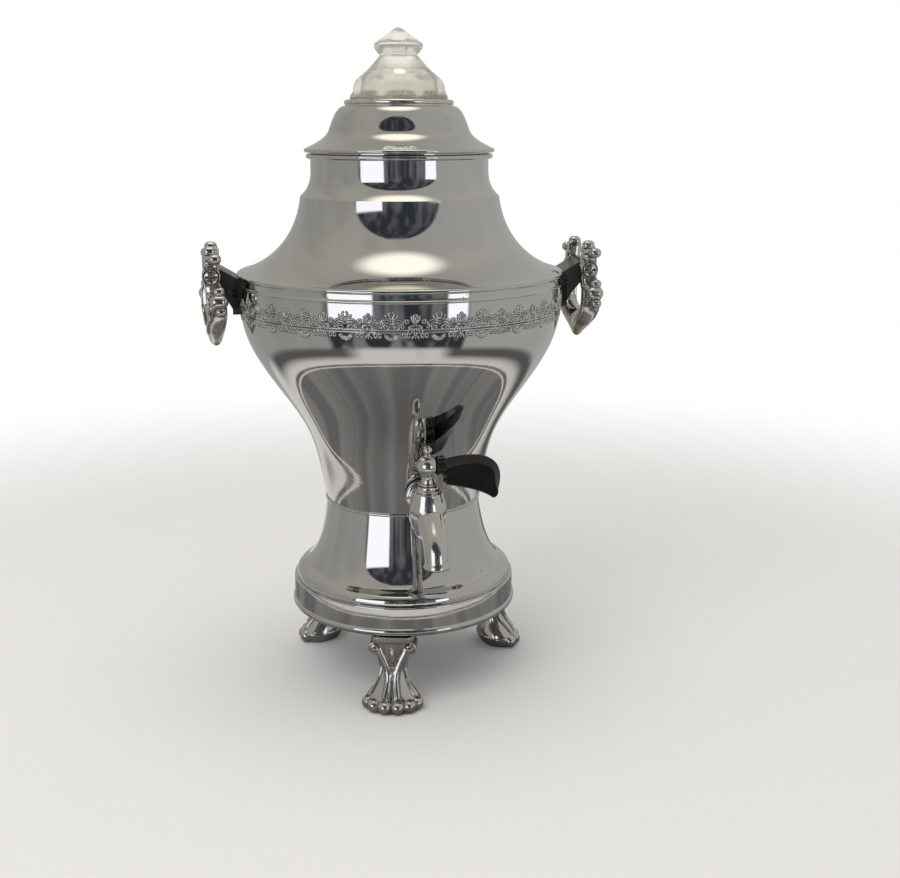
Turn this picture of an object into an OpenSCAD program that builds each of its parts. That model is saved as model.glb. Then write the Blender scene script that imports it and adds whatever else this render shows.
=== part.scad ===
// Electric percolator urn in chromed sheet metal: a vase-shaped vessel on a flared pedestal with
// three cast feet, a lever tap at the front, two drop handles, and a lift-off lid with a glass top.
// Millimetres. +Z is up, the tap faces -Y, and the origin lies on the urn's axis at table level.

/* [Stand] */
// Height of the feet, from the table to the underside of the pedestal
foot_h = 44; // [38:0.5:54]
// Distance of a foot's middle from the urn's axis
foot_r = 60; // [57:0.5:61]
// Width of a foot under the pedestal
foot_cap_w = 25; // [22:0.5:28]
// Width of a foot at its waist
foot_waist_w = 14.5; // [13:0.5:18]
// Width of a foot over its spread toes
foot_toe_w = 33; // [28:0.5:38]
// Turn of the feet about the axis, from the tap's direction
foot_turn = -18; // [-60:1:60]
// Radius of the half-round bead at the pedestal's bottom edge
bead_r = 2.5; // [1.5:0.1:3.5]
// Radius of the straight ring above the bead
ring_r = 67.2; // [62:0.2:74]
// Height of the straight ring
ring_h = 12.4; // [8:0.2:18]
// Radius of the pedestal's bulge above the ring
bulge_r = 65.6; // [60:0.2:66.2]
// Height of the pedestal, from the bead's underside to the waist
skirt_h = 67; // [60:0.5:80]
// Radius of the waist
waist_r = 46; // [42:0.2:50]

/* [Vessel] */
// Thickness of the sheet metal
wall = 1; // [0.8:0.1:1.4]
// Height of the vase, from the waist to the seam band
vase_h = 128; // [115:0.5:145]
// Radius of the vase where its curve turns
vase_mid_r = 69.5; // [64:0.5:75]
// Height of that turn above the waist
vase_mid_h = 63.5; // [55:0.5:72]
// Radius of the vase just below the seam band
vase_r = 94; // [88:0.2:100]
// How far the seam band stands out from the vase
seam_step = 0.4; // [0.2:0.1:1]
// Height of the seam band
seam_h = 7; // [5:0.2:10]
// Height of the shoulder above the seam band
shoulder_h = 42.8; // [36:0.2:52]
// Radius of the ridge where shoulder and neck meet
ridge_r = 57.2; // [55:0.2:62]
// Height of the neck above the ridge
neck_h = 23.9; // [21:0.1:30]
// Radius of the neck
neck_r = 50.9; // [48.5:0.1:54]
// Radius of the rolled edge of the neck
roll_r = 1.5; // [1:0.1:2]
// Radius of the shallow well in the vessel's floor
well_r = 26; // [24:0.5:30]
// Depth of the well
well_d = 4; // [2:0.5:6]

/* [Lid] */
// Height of the lid's bell, from its rim to the glass collar
bell_h = 23; // [19:0.2:28]
// How far the lid's rim stands out past the neck
rim_over = 3.1; // [2:0.1:5]
// Depth of the lid's ring inside the neck
plug_d = 7.5; // [5:0.5:10]
// Radius of the lid's bell where its curve turns
bell_r = 40.2; // [38:0.2:43]
// Outer radius of the glass collar
collar_r = 31.1; // [30:0.1:33]
// Height of the glass collar
collar_h = 3.4; // [2.4:0.1:5]

/* [Glass] */
// Height of the glass above its collar
glass_h = 39; // [34:0.5:46]
// Radius of the glass above its collar
glass_r = 27.7; // [26.5:0.1:28.4]
// Radius of the finial
finial_r = 14.5; // [12:0.1:17]
// Radius of the finial's neck
finial_neck_r = 11.2; // [9:0.1:11.8]
// Thickness of the glass
glass_wall = 3; // [2.4:0.1:3.6]
// Number of pressed panels round the glass
panels = 8; // [8:1:10]
// Turn of the panels about the axis
panel_turn = 12; // [0:1:45]

/* [Tap] */
// Distance of the tap's plug from the urn's axis
tap_r = 66.5; // [64:0.5:72]
// Distance of the spout's mouth from the urn's axis
mouth_r = 88; // [84:0.5:94]
// Height of the tap's shank above the waist
shank_rise = 12.5; // [10:0.5:16]
// Radius of the tap's shank
shank_r = 6; // [5:0.1:7]
// Drop from the shank to the spout's mouth
mouth_drop = 33; // [28:0.5:38]
// Largest radius of the tap's barrel
barrel_r = 9.7; // [9:0.1:11]
// Radius of the spout
spout_r = 6.6; // [6:0.1:7.4]
// Radius of the plug that turns in the barrel
plug_r = 5.4; // [5:0.1:6]
// Radius of the water way through the tap
bore_r = 3.4; // [3:0.1:4]
// Radius of the ball that carries the lever
ball_r = 5.5; // [5:0.1:6.5]
// Length of the lever from the ferrule to its tip
lever_l = 32; // [26:0.5:38]
// Height of the lever at the ferrule
lever_h = 13.8; // [12:0.2:18]
// Thickness of the lever
lever_t = 9.2; // [8:0.2:11]

/* [Handles] */
// Height of the handle pivots above the lower edge of the seam band
pivot_rise = 7.4; // [6:0.2:9]
// Distance of the handle pivots from the vase
pivot_out = 14.6; // [14:0.2:17]
// Distance of each handle leg from the handle's middle
leg_t = 16.6; // [16.2:0.2:19]
// Thickness of a handle leg seen from the side of the urn
leg_w = 6.8; // [6:0.2:7.4]
// Depth of a handle leg, away from the urn
leg_d = 9; // [8.6:0.2:11]
// Height of the handle above its pivots
handle_up = 16.6; // [16:0.2:20]
// Depth of the handle below its pivots
handle_down = 42; // [38:0.5:45]
// Turn of the handles about the urn's axis, from square to the tap
handle_turn = -4.5; // [-10:0.5:10]
// Angle at which the left handle hangs inwards, as photographed
left_lean = 1; // [-3:0.5:3]
// Angle at which the right handle hangs inwards, as photographed
right_lean = 1.5; // [-3:0.5:3]
// Radius of the pivot screws
pivot_r = 2.5; // [2:0.1:3]
// Width of the bracket between the legs
bracket_w = 24; // [20:0.5:24.5]

/* [Percolator] */
// Outer radius of the pump tube
tube_r = 4.5; // [4:0.1:5]
// Thickness of the pump tube and of the basket
sheet = 0.8; // [0.6:0.1:1]
// Outer radius of the pump's bell
pump_r = 22.5; // [20:0.5:22.8]
// Radius of the coffee basket
basket_r = 43.5; // [38:0.5:45]
// Height of the coffee basket
basket_h = 50; // [40:1:56]
// Radius of the holes in basket and spreader
perforation_r = 1.3; // [1:0.1:1.6]

/* [Heater] */
// Radius of the heating element
element_r = 23.5; // [21:0.5:24]
// Thickness of the heating element
element_t = 5; // [4:0.5:7]
// Radius of the tie rod through the pedestal
rod_r = 3; // [2.5:0.1:4]
// Radius of the two inlet pins
pin_r = 2.4; // [2:0.1:2.6]
// Distance between the two inlet pins
pin_gap = 17.5; // [16:0.5:19]
// Height of the inlet above the pedestal's bottom edge
inlet_rise = 38; // [36:0.5:42]

/* [Clearances] */
// Gap between pieces that lift off each other
lift_gap = 0.3; // [0.2:0.05:0.4]
// Radial gap of a turning pin or plug
run_gap = 0.05; // [0.02:0.01:0.1]
// Gap of a fixed piece in its hole
fix_gap = 0.1; // [0.05:0.05:0.2]

/* [Hidden] */
$fn = 64;

// Rim of the lid: its gap above the neck and its thickness
rim_gap = 1.5;
rim_t = 1.1;

// Heights above the table
z_bead = foot_h;
z_ring = z_bead + 2 * bead_r;
z_crease = z_ring + ring_h;
z_waist = z_bead + skirt_h;
z_well = z_waist - well_d;
z_seam = z_waist + vase_h;
z_brim = z_seam + seam_h;
z_ridge = z_brim + shoulder_h;
z_neck = z_ridge + neck_h;
z_lid = z_neck + lift_gap;
z_collar = z_lid + rim_gap + rim_t + bell_h;
z_glass = z_collar + collar_h;
z_pivot = z_seam + pivot_rise;
z_shank = z_waist + shank_rise;
z_mouth = z_shank - mouth_drop;
z_inlet = z_bead + inlet_rise;

// Radii that follow from the sizes above
seam_r = vase_r + seam_step;
lid_r = neck_r + rim_over;
pivot_x = vase_r + pivot_out;

// Curve from a to b in the (radius, height) plane. Each end has a direction in degrees from
// straight up towards the outside, and a bow: how far, in chord lengths, it keeps to it.
function heading(deg) = [sin(deg), cos(deg)];
function bezier(p, t) = pow(1 - t, 3) * p[0] + 3 * pow(1 - t, 2) * t * p[1]
    + 3 * (1 - t) * t * t * p[2] + pow(t, 3) * p[3];
function curve(a, a_deg, a_bow, b, b_deg, b_bow, steps) = let (chord = norm(b - a))
    [for (i = [0:steps]) bezier([a, a + a_bow * chord * heading(a_deg),
        b - b_bow * chord * heading(b_deg), b], i / steps)];
function tail(p) = [for (i = [1:len(p) - 1]) p[i]];
function flip(p) = [for (i = [len(p) - 1:-1:0]) p[i]];
function unit(v) = v / norm(v);
function along(p, i) = unit(p[min(i + 1, len(p) - 1)] - p[max(i - 1, 0)]);
// The line p moved to its left by t, which is towards the axis on a line drawn upwards
function inset(p, t) = [for (i = [0:len(p) - 1]) p[i] + t * [-along(p, i)[1], along(p, i)[0]]];
// Height from 0 to 1 along a smooth step as x goes from a to b
function ease(x, a, b) = let (u = min(max((x - a) / (b - a), 0), 1)) u * u * (3 - 2 * u);
function bump(x, width) = exp(-pow(x / width, 2));

module revolve(points) {
    rotate_extrude($fn = 96) polygon(points);
}

// A sheet-metal shell: the outer line, and the same line one thickness further in
module spun(line, thickness) {
    revolve(concat(line, flip(inset(line, thickness))));
}

// Solid skin through rings of points. The first ring runs clockwise, seen from its outer side.
module loft(rings) {
    n = len(rings[0]);
    last = (len(rings) - 1) * n;
    sides = [for (j = [0:len(rings) - 2], i = [0:n - 1])
        let (a = j * n + i, b = j * n + (i + 1) % n)
        each [[a, b + n, b], [a, a + n, b + n]]];
    polyhedron(points = [for (ring = rings) each ring],
        faces = concat([[for (i = [0:n - 1]) i]], sides, [[for (i = [n - 1:-1:0]) last + i]]));
}

module hex_nut(across, hole, height) {
    difference() {
        cylinder(d = across / cos(30), h = height, $fn = 6);
        translate([0, 0, -1]) cylinder(r = hole, h = height + 2);
    }
}

// Round bar along +Y from y0 to y1
module bar_y(r, y0, y1) {
    translate([0, y0, 0]) rotate([-90, 0, 0]) cylinder(r = r, h = y1 - y0);
}

// Round bar along +X from x0 to x1
module bar_x(r, x0, x1) {
    translate([x0, 0, 0]) rotate([0, 90, 0]) cylinder(r = r, h = x1 - x0);
}

// Straight-sided slot shape with round ends, from y0 to y1
module slot_y(half_w, half_h, y0, y1) {
    translate([0, y0, 0]) rotate([-90, 0, 0]) linear_extrude(y1 - y0) {
        square([2 * (half_w - half_h), 2 * half_h], center = true);
        for (side = [-1, 1]) translate([side * (half_w - half_h), 0]) circle(half_h);
    }
}

// Outer lines of the sheet-metal body, drawn upwards
vase_mid = [vase_mid_r, z_waist + vase_mid_h];
vase_line = concat(
    curve([waist_r, z_waist], 11.7, 0.467, vase_mid, 35.3, 0.47, 14),
    tail(curve(vase_mid, 35.3, 0.5, [vase_r, z_seam], 0, 0.41, 14)));
brim_edge = 0.8;
neck_turn = [neck_r, z_ridge + 15];
shoulder_line = concat(
    [[seam_r, z_seam], [seam_r, z_brim - 0.5]],
    curve([seam_r - brim_edge, z_brim + 0.3], -73.5, 0.323, [ridge_r, z_ridge], -7.6, 0.441, 16),
    tail(curve([ridge_r, z_ridge], -34.6, 0.38, neck_turn, 0, 0.46, 8)),
    [[neck_r, z_neck - roll_r]]);
skirt_turn = [waist_r + 12.5, z_bead + 26.5];
crease_r = bulge_r - 0.6;
skirt_line = concat(
    [[ring_r, z_bead + bead_r], [ring_r, z_crease - 0.8], [ring_r - 0.8, z_crease],
     [crease_r, z_crease + 0.2]],
    curve([bulge_r, z_crease + 1.4], 0, 0.45, skirt_turn, -41.6, 0.3, 8),
    tail(curve(skirt_turn, -41.6, 0.271, [waist_r, z_waist], -6.1, 0.368, 12)));

// Vessel: floor with its well, the vase, and the rim that slips inside the seam band
rim_r = seam_r - wall - fix_gap;
rim_top = z_brim - 2.5;
bracket_screw_r = 1.8;
bracket_screw_z = [z_seam - 10, z_seam - 3.2];

module vessel() {
    vase_inside = [for (p = inset(vase_line, wall)) if (p[1] > z_waist + wall + 1) p];
    outside = concat([[0, z_well], [well_r, z_well], [well_r, z_waist]], vase_line,
        [[rim_r, z_seam], [rim_r, rim_top]]);
    inside = concat([[0, z_well + wall], [well_r - wall, z_well + wall],
        [well_r - wall, z_waist + wall], [waist_r - wall, z_waist + wall]], vase_inside,
        [[rim_r - wall, z_seam], [rim_r - wall, rim_top]]);
    color("gainsboro") difference() {
        revolve(concat(outside, flip(inside)));
        translate([0, 0, z_shank]) bar_y(shank_r + fix_gap, -waist_r - 20, 0);
        for (side = [0, 180], z = bracket_screw_z) rotate(handle_turn + side)
            translate([0, 0, z]) bar_x(bracket_screw_r + fix_gap, waist_r, seam_r + 5);
    }
}

module shoulder() {
    color("gainsboro") {
        spun(shoulder_line, wall);
        rotate_extrude($fn = 96) translate([neck_r + 0.9, z_neck - roll_r]) circle(roll_r);
    }
}

// Pedestal: a flared skirt with a bead, a straight ring and a bulge, closed above by a flange
flange_hole_r = well_r + 6;
guard_w = pin_gap / 2 + 8.5;
guard_h = 9.2;

module base_skirt() {
    inner = inset(skirt_line, wall);
    color("gainsboro") difference() {
        union() {
            revolve(concat(skirt_line, flip(inner)));
            revolve([[flange_hole_r, z_waist - wall], [waist_r - wall / 2, z_waist - wall],
                [waist_r - wall / 2, z_waist], [flange_hole_r, z_waist]]);
            rotate_extrude($fn = 96) translate([ring_r - 1.4, z_bead + bead_r]) circle(bead_r);
            rotate_extrude($fn = 96) translate([waist_r, z_waist - 0.9]) circle(0.9);
        }
        translate([0, 0, z_inlet]) slot_y(guard_w + fix_gap, guard_h + fix_gap, 20, ring_r);
    }
}

// Pan that closes the pedestal below, and the tie rod that draws it up against the vessel
pan_t = 1.2;
pan_h = 8;
pan_r = ring_r - 1.4 - bead_r - fix_gap;
foot_az = [for (i = [0:2]) -90 + foot_turn + 120 * i];
foot_screw_r = 2.5;
rod_nut_h = 5;
washer_t = 1.2;

module base_pan() {
    color("silver") difference() {
        revolve([[0, z_bead], [pan_r, z_bead], [pan_r, z_bead + pan_h],
            [pan_r - pan_t, z_bead + pan_h], [pan_r - pan_t, z_bead + pan_t],
            [0, z_bead + pan_t]]);
        translate([0, 0, z_bead - 1]) cylinder(r = rod_r + fix_gap, h = pan_t + 2);
        for (az = foot_az) rotate(az) translate([foot_screw_at, 0, z_bead - 1])
            cylinder(r = foot_screw_r + fix_gap, h = pan_t + 2);
    }
}

module tie_rod() {
    z_low = z_bead - washer_t - rod_nut_h - 1.5;
    color("darkgray") translate([0, 0, z_low]) cylinder(r = rod_r, h = z_well - z_low);
}

module rod_washer() {
    color("silver") translate([0, 0, z_bead - washer_t]) difference() {
        cylinder(r = rod_r + 5, h = washer_t);
        translate([0, 0, -1]) cylinder(r = rod_r + fix_gap, h = washer_t + 2);
    }
}

module rod_nut() {
    color("darkgray") translate([0, 0, z_bead - washer_t - rod_nut_h])
        hex_nut(3.4 * rod_r, rod_r + fix_gap, rod_nut_h);
}

// Heating element, pressed up against the well by a clamp plate on the tie rod
clamp_r = element_r - 6.5;
clamp_t = 2;
z_element = z_well - element_t;
z_clamp = z_element - clamp_t;
clamp_nut_h = 4.5;

module heating_element() {
    color("dimgray") translate([0, 0, z_element]) difference() {
        cylinder(r = element_r, h = element_t);
        translate([0, 0, -1]) cylinder(r = rod_r + fix_gap, h = element_t + 2);
    }
}

module element_clamp() {
    color("silver") translate([0, 0, z_clamp]) difference() {
        cylinder(r = clamp_r, h = clamp_t);
        translate([0, 0, -1]) cylinder(r = rod_r + fix_gap, h = clamp_t + 2);
    }
}

module clamp_nut() {
    color("darkgray") translate([0, 0, z_clamp - clamp_nut_h])
        hex_nut(3.4 * rod_r, rod_r + fix_gap, clamp_nut_h);
}

// Inlet at the back of the pedestal: two pins in a porcelain block, inside a sheet-metal guard
insulator_y = waist_r - 3;
insulator_l = 10;
insulator_face = insulator_y + insulator_l;
pin_shank_r = pin_r - 0.6;
guard_y = insulator_y + 1;
guard_end = guard_y + 29;
pin_end = guard_end - 3;
strip_w = 8;
strip_t = 0.8;

module inlet_guard() {
    color("gainsboro") translate([0, 0, z_inlet]) difference() {
        slot_y(guard_w, guard_h, guard_y, guard_end);
        slot_y(guard_w - wall, guard_h - wall, guard_y - 1, guard_end + 1);
    }
}

module inlet_insulator() {
    inner_w = guard_w - wall - fix_gap;
    color("ivory") translate([0, 0, z_inlet]) difference() {
        slot_y(inner_w, guard_h - wall - fix_gap, insulator_y, insulator_face);
        for (side = [-1, 1]) translate([side * pin_gap / 2, 0, 0])
            bar_y(pin_shank_r + fix_gap, insulator_y - 1, insulator_face + 1);
    }
}

// Each pin has a shoulder against the block's face and a thinner shank through the block
module inlet_pins() {
    color("silver") for (side = [-1, 1]) translate([side * pin_gap / 2, 0, z_inlet]) {
        bar_y(pin_shank_r, insulator_y - 4, insulator_face + 1);
        bar_y(pin_r, insulator_face, pin_end - pin_r);
        translate([0, pin_end - pin_r, 0]) sphere(pin_r);
    }
}

// Two bent strips from the element's rim to the inner ends of the pins
module lead_strips() {
    far = insulator_y;
    bend = z_inlet + 11;
    near = sqrt(pow(element_r - 1, 2) - pow(pin_gap / 2 + strip_w / 2, 2));
    color("goldenrod") for (side = [-1, 1]) difference() {
        translate([side * pin_gap / 2 + strip_w / 2, 0, 0]) rotate([90, 0, -90])
            linear_extrude(strip_w) polygon([[-far, z_inlet - 4.5], [-far, bend],
                [-near, bend], [-near, z_element], [-near + strip_t, z_element],
                [-near + strip_t, bend - strip_t], [-far + strip_t, bend - strip_t],
                [-far + strip_t, z_inlet - 4.5]]);
        translate([side * pin_gap / 2, 0, z_inlet]) bar_y(pin_shank_r + fix_gap, far - 2, far + 1);
    }
}

// Cast foot: a vase-shaped stem under a cap, a fan of leaf ribs, and a spread of round toes.
// The radius at one angle from the outward direction, u being the height from 0 to 1.
toe_count = 9;
foot_sides = 45;
foot_levels = 16;
cap_t = 3;

function foot_stem(u) = let (low = foot_toe_w / 2, mid = foot_waist_w / 2, top = foot_cap_w / 2 - 1)
    u < 0.16 ? low - 3 * pow((0.16 - u) / 0.16, 2)
    : u < 0.58 ? mid + (low - mid) * pow(1 - ease(u, 0.1, 0.64), 1.7)
    : mid + (top - mid) * pow(ease(u, 0.5, 1.04), 1.3);
function foot_radius(deg, u) = let (split = 46 * ease(u, 0.45, 1))
    foot_stem(u)
    + 1.3 * abs(cos(deg * toe_count / 2)) * (1 - ease(u, 0.14, 0.3))
    + 0.9 * ease(u, 0.25, 0.4) * (bump(deg - split, 14) + bump(deg + split, 14))
    - 1.2 * ease(u, 0.7, 1) * bump(deg, 22);
function foot_ring(u) = [for (i = [0:foot_sides - 1])
    let (deg = 360 * i / foot_sides - 180, r = foot_radius(deg, u))
    [r * cos(deg) * (1 - 0.12 * u), r * sin(deg), u * (foot_h - cap_t)]];

foot_screw_at = foot_r - 4;
foot_screw_l = 13;

module foot(az) {
    scroll_r = 3.8;
    scroll_t = foot_cap_w / 2 - 2.4;
    color("silver") rotate(az) difference() {
        union() {
            translate([foot_r, 0, 0])
                loft([for (j = [0:foot_levels]) foot_ring(j / foot_levels)]);
            translate([foot_r - 1, 0, foot_h - cap_t]) intersection() {
                cylinder(r = foot_cap_w / 2, h = cap_t);
                translate([-10.5, -foot_cap_w, 0]) cube([20, 2 * foot_cap_w, cap_t]);
            }
            for (side = [-1, 1])
                translate([foot_r, side * scroll_t, foot_h - cap_t - scroll_r + 0.6])
                bar_x(scroll_r, -6, 7);
        }
        translate([foot_screw_at, 0, foot_h - foot_screw_l - 1])
            cylinder(r = foot_screw_r + fix_gap, h = foot_screw_l + 7);
    }
}

module foot_front() { foot(foot_az[0]); }

module foot_right() { foot(foot_az[1]); }

module foot_left() { foot(foot_az[2]); }

module foot_screws() {
    color("darkgray") for (az = foot_az) rotate(az) translate([foot_screw_at, 0, 0]) {
        translate([0, 0, z_bead + pan_t]) cylinder(r = 1.8 * foot_screw_r, h = 2.4);
        translate([0, 0, foot_h - foot_screw_l])
            cylinder(r = foot_screw_r, h = foot_screw_l + pan_t + 0.5);
    }
}

// Bracket of a handle: a plate against the vase, and a gusset that carries the pivots
arm_r = 5.4;
base_top = z_brim - 2.5;
base_low = z_seam - 15.5;
base_t = 3.6;
base_corner = 3.5;
leg_inner = leg_t - leg_w / 2;
bracket_screw_l = 4.8;

module handle_bracket() {
    base_x = vase_r + base_t;
    inside = vase_r - 6;
    half = bracket_w / 2;
    pivot = [pivot_x, z_pivot];
    color([0.13, 0.13, 0.14]) difference() {
        union() {
            translate([0, half, 0]) rotate([90, 0, 0]) linear_extrude(bracket_w)
                polygon(concat([[inside, base_top], [base_x, base_top],
                    pivot + arm_r * heading(-30), pivot],
                    curve(pivot + arm_r * heading(180), 225, 0.35,
                        [base_x, base_low + base_corner], 205, 0.35, 6),
                    [[inside, base_low + base_corner]]));
            translate([pivot_x, 0, z_pivot]) bar_y(arm_r, -half, half);
            translate([inside, -half, base_low + base_corner])
                cube([base_x - inside, bracket_w, base_top - base_low - base_corner]);
            translate([inside, base_corner - half, base_low])
                cube([base_x - inside, bracket_w - 2 * base_corner, base_corner + 1]);
            for (side = [-1, 1])
                translate([0, side * (half - base_corner), base_low + base_corner])
                bar_x(base_corner, inside, base_x);
        }
        revolve(concat([[0, base_low - 30]], [for (p = vase_line) if (p[1] > base_low - 30)
            p + [fix_gap, 0]], [for (p = shoulder_line) if (p[1] < base_top + 20)
            p + [fix_gap, 0]], [[0, base_top + 20]]));
        translate([pivot_x, 0, z_pivot]) {
            bar_y(pivot_r + fix_gap / 2, -half - 1, -half + 8.5);
            bar_y(pivot_r + fix_gap / 2, half - 8.5, half + 1);
        }
        for (z = bracket_screw_z) translate([0, 0, z])
            bar_x(bracket_screw_r + fix_gap / 2, vase_r - 8, vase_r + bracket_screw_l + 0.7);
    }
}

module handle_bracket_right() { rotate(handle_turn) handle_bracket(); }

module handle_bracket_left() { rotate(handle_turn + 180) handle_bracket(); }

module bracket_screws() {
    seat = sqrt(pow(vase_r - 2.2 * wall, 2) - pow(3.2, 2));
    color("silver") for (side = [0, 180], z = bracket_screw_z)
        rotate(handle_turn + side) translate([0, 0, z]) {
            bar_x(bracket_screw_r, seat - 0.5, vase_r + bracket_screw_l);
            bar_x(3.1, seat - 1.6, seat);
        }
}

module pivot_screws() {
    face = leg_t + leg_w / 2 + 0.3;
    color("silver") for (side = [0, 180]) translate([pivot_x, 0, z_pivot]) rotate(side) {
        bar_y(pivot_r, bracket_w / 2 - 8, face + 0.5);
        difference() {
            bar_y(1.55 * pivot_r, face + run_gap, face + 2.2);
            translate([-pivot_r, face + 1.4, -0.5]) cube([2 * pivot_r, 2, 1]);
            translate([-0.5, face + 1.4, -pivot_r]) cube([1, 2, 2 * pivot_r]);
        }
    }
}

module pivot_screws_right() { rotate(handle_turn) pivot_screws(); }

module pivot_screws_left() { rotate(handle_turn + 180) pivot_screws(); }

// Drop handle: a pointed horseshoe with rolls over the outer faces of its legs. Its outer and inner
// line run from a leg's top down to the point, in (across, up) coordinates from the pivot. Below
// the pivots the casting is twisted: one leg stands further out and the other further in.
tip_slope = 42;
tip_t = 15;
leg_splay = 1.6;
leg_twist = 2.2;
bend_up = -18;
straight = [handle_up - 4, handle_up - 6, 8, 4, 0, -4, -8, -12, -15];

function squarish(x, power) = sign(x) * pow(abs(x), power);
function leg_side(up, side) = leg_t - 1.4 * ease(up, 8, handle_up - 3)
    + leg_splay * ease(-up, 2, 14) + side * leg_w / 2 * (1 - 0.3 * ease(up, 8, handle_up - 4));
function leg_line(side, bow, tip) = concat([for (up = straight) [leg_side(up, side), up]],
    curve([leg_side(bend_up, side), bend_up], 180, bow, [0, tip], 270 - tip_slope, 0.25, 12));
outer_line = leg_line(1, 0.5, -handle_down);
inner_line = leg_line(-1, 0.35, tip_t - handle_down);

function leg_depth(up) = leg_d / 2 * (1 + 0.22 * ease(-up, 3, 11))
    * (1 - 0.5 * ease(-up, 28, handle_down));
function leg_shift(up) = leg_twist * ease(-up, 2, 14)
    * (1 - ease(-up, 20, handle_down - tip_t / 2));
function handle_ring(i, side) = let (middle = (outer_line[i] + inner_line[i]) / 2,
        inwards = inner_line[i] - middle, power = 0.8 + 0.2 * ease(-middle[1], 20, 32))
    [for (k = [0:15]) let (a = 360 * k / 16, p = middle + inwards * squarish(cos(a), power))
        [side * leg_shift(middle[1]) + leg_depth(middle[1]) * squarish(sin(a), power),
            -side * p[0], p[1]]];

// A roll with round ends on both legs, its middle at x on one leg and at -x on the other
module roll(x, across, up, r, half) {
    for (side = [0, 180]) rotate(side) translate([x, -across, up]) {
        bar_x(r, -half, half);
        for (end = [-half, half]) translate([end, 0, 0]) sphere(r);
    }
}

module handle_casting(lean) {
    m = len(outer_line) - 1;
    leg_face = leg_t + leg_w / 2;
    roll_half = 0.28 * leg_d;
    color("silver") translate([pivot_x, 0, z_pivot]) rotate([0, lean, 0]) difference() {
        union() {
            loft(concat([for (i = [0:m]) handle_ring(i, 1)],
                [for (i = [m - 1:-1:0]) handle_ring(i, -1)]));
            for (side = [0, 180]) rotate(side)
                bar_y(leg_d / 2 + 0.4, leg_inner, leg_face + 0.3);
            roll(0, leg_t - 1.6, handle_up - 3, 3, 0.8);
            roll(0.4, leg_face + 1.4, handle_up - 6.2, 2.4, roll_half);
            roll(1.4, leg_face + 2.2, -8.6, 2.3, 1.2 * roll_half);
            roll(2.2, leg_face + 1.6, -13.4, 3.4, roll_half);
            roll(leg_twist, leg_face + 2.2, -18.8, 2.3, 1.2 * roll_half);
        }
        for (side = [0, 180]) rotate(side)
            bar_y(pivot_r + run_gap, leg_inner - 1, leg_t + leg_w + 1);
    }
}

module handle_right() { rotate(handle_turn) handle_casting(right_lean); }

module handle_left() { rotate(handle_turn + 180) handle_casting(left_lean); }

// Tap: barrel and spout are one horn whose middle line leaves the bonnet downwards and bends
// forwards to the mouth. The shank runs back through the vessel's wall.
z_bonnet = z_shank + 6.5;
horn_steps = 20;
horn_line = [[tap_r, z_bonnet], [tap_r, z_bonnet - 21], [mouth_r, z_mouth + 20],
    [mouth_r, z_mouth]];
seat_r = barrel_r - 1.6;
lip_r = spout_r + 1;

function horn_at(t) = bezier(horn_line, t);
function horn_dir(t) = let (p = horn_line) unit(pow(1 - t, 2) * (p[1] - p[0])
    + 2 * (1 - t) * t * (p[2] - p[1]) + t * t * (p[3] - p[2]));
function horn_radius(t) = t < 0.2 ? seat_r + (barrel_r - seat_r) * ease(t, 0, 0.2)
    : spout_r + (barrel_r - spout_r) * (1 - ease(t, 0.28, 0.74))
    + (lip_r - spout_r) * ease(t, 0.95, 1);
function horn_ring(t, r, sides) = let (c = horn_at(t), d = horn_dir(t))
    [for (i = [0:sides - 1]) let (a = 360 * i / sides)
        [r * cos(a), -c[0] + r * sin(a) * d[1], c[1] + r * sin(a) * d[0]]];
plug_low = z_bonnet - 13;
outlet_r = spout_r - 2;
z_outlet = z_mouth + 7;
plug_top = z_bonnet - 0.6;
wall_y = waist_r + 2.4;
nut_t = 4;
// Flange against the vessel, with a flat on top that stays below the bonnet
flange_r = shank_r + 2.8;
flange_top = z_bonnet - z_shank - fix_gap;

module tap_body() {
    color("silver") difference() {
        union() {
            loft([for (i = [0:horn_steps]) let (t = i / horn_steps)
                horn_ring(t, horn_radius(t), 28)]);
            translate([0, 0, z_shank]) {
                bar_y(shank_r, -tap_r, -wall_y + 12);
                bar_y(flange_top, -tap_r, -wall_y - 5);
                intersection() {
                    bar_y(flange_r, -wall_y - 5.5, -wall_y - 3);
                    translate([-flange_r, -tap_r - flange_r, -flange_r])
                        cube([2 * flange_r, tap_r + flange_r, flange_r + flange_top]);
                }
            }
        }
        translate([0, -mouth_r, z_mouth - 1]) cylinder(r = outlet_r, h = z_outlet - z_mouth + 1);
        translate([0, -tap_r, plug_low]) {
            cylinder(r = plug_r + run_gap, h = z_bonnet - plug_low + 1);
            rotate([atan2(mouth_r - tap_r, z_outlet - plug_low), 0, 0])
                cylinder(r = bore_r, h = norm([mouth_r - tap_r, z_outlet - plug_low]));
        }
        translate([0, 0, z_shank]) bar_y(bore_r, -tap_r, -wall_y + 13);
    }
}

module tap_washer_outer() {
    color([0.2, 0.2, 0.2]) translate([0, 0, z_shank]) difference() {
        bar_y(shank_r + 3, -wall_y - 3, -wall_y + 1);
        bar_y(shank_r + fix_gap, -wall_y - 4, -wall_y + 2);
        translate([0, 0, -z_shank]) revolve(concat([[0, z_waist]],
            [for (p = vase_line) p + [fix_gap, 0]], [[0, z_seam]]));
    }
}

module tap_washer_inner() {
    color([0.2, 0.2, 0.2]) translate([0, 0, z_shank]) difference() {
        bar_y(shank_r + 3, -wall_y + 1, -wall_y + 6);
        bar_y(shank_r + fix_gap, -wall_y, -wall_y + 7);
        translate([0, 0, -z_shank]) difference() {
            translate([0, 0, z_waist]) cylinder(r = vase_r, h = vase_h);
            revolve(concat([[0, z_waist - 1]],
                [for (p = inset(vase_line, wall)) p - [2 * fix_gap, 0]], [[0, z_seam]]));
        }
    }
}

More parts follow.
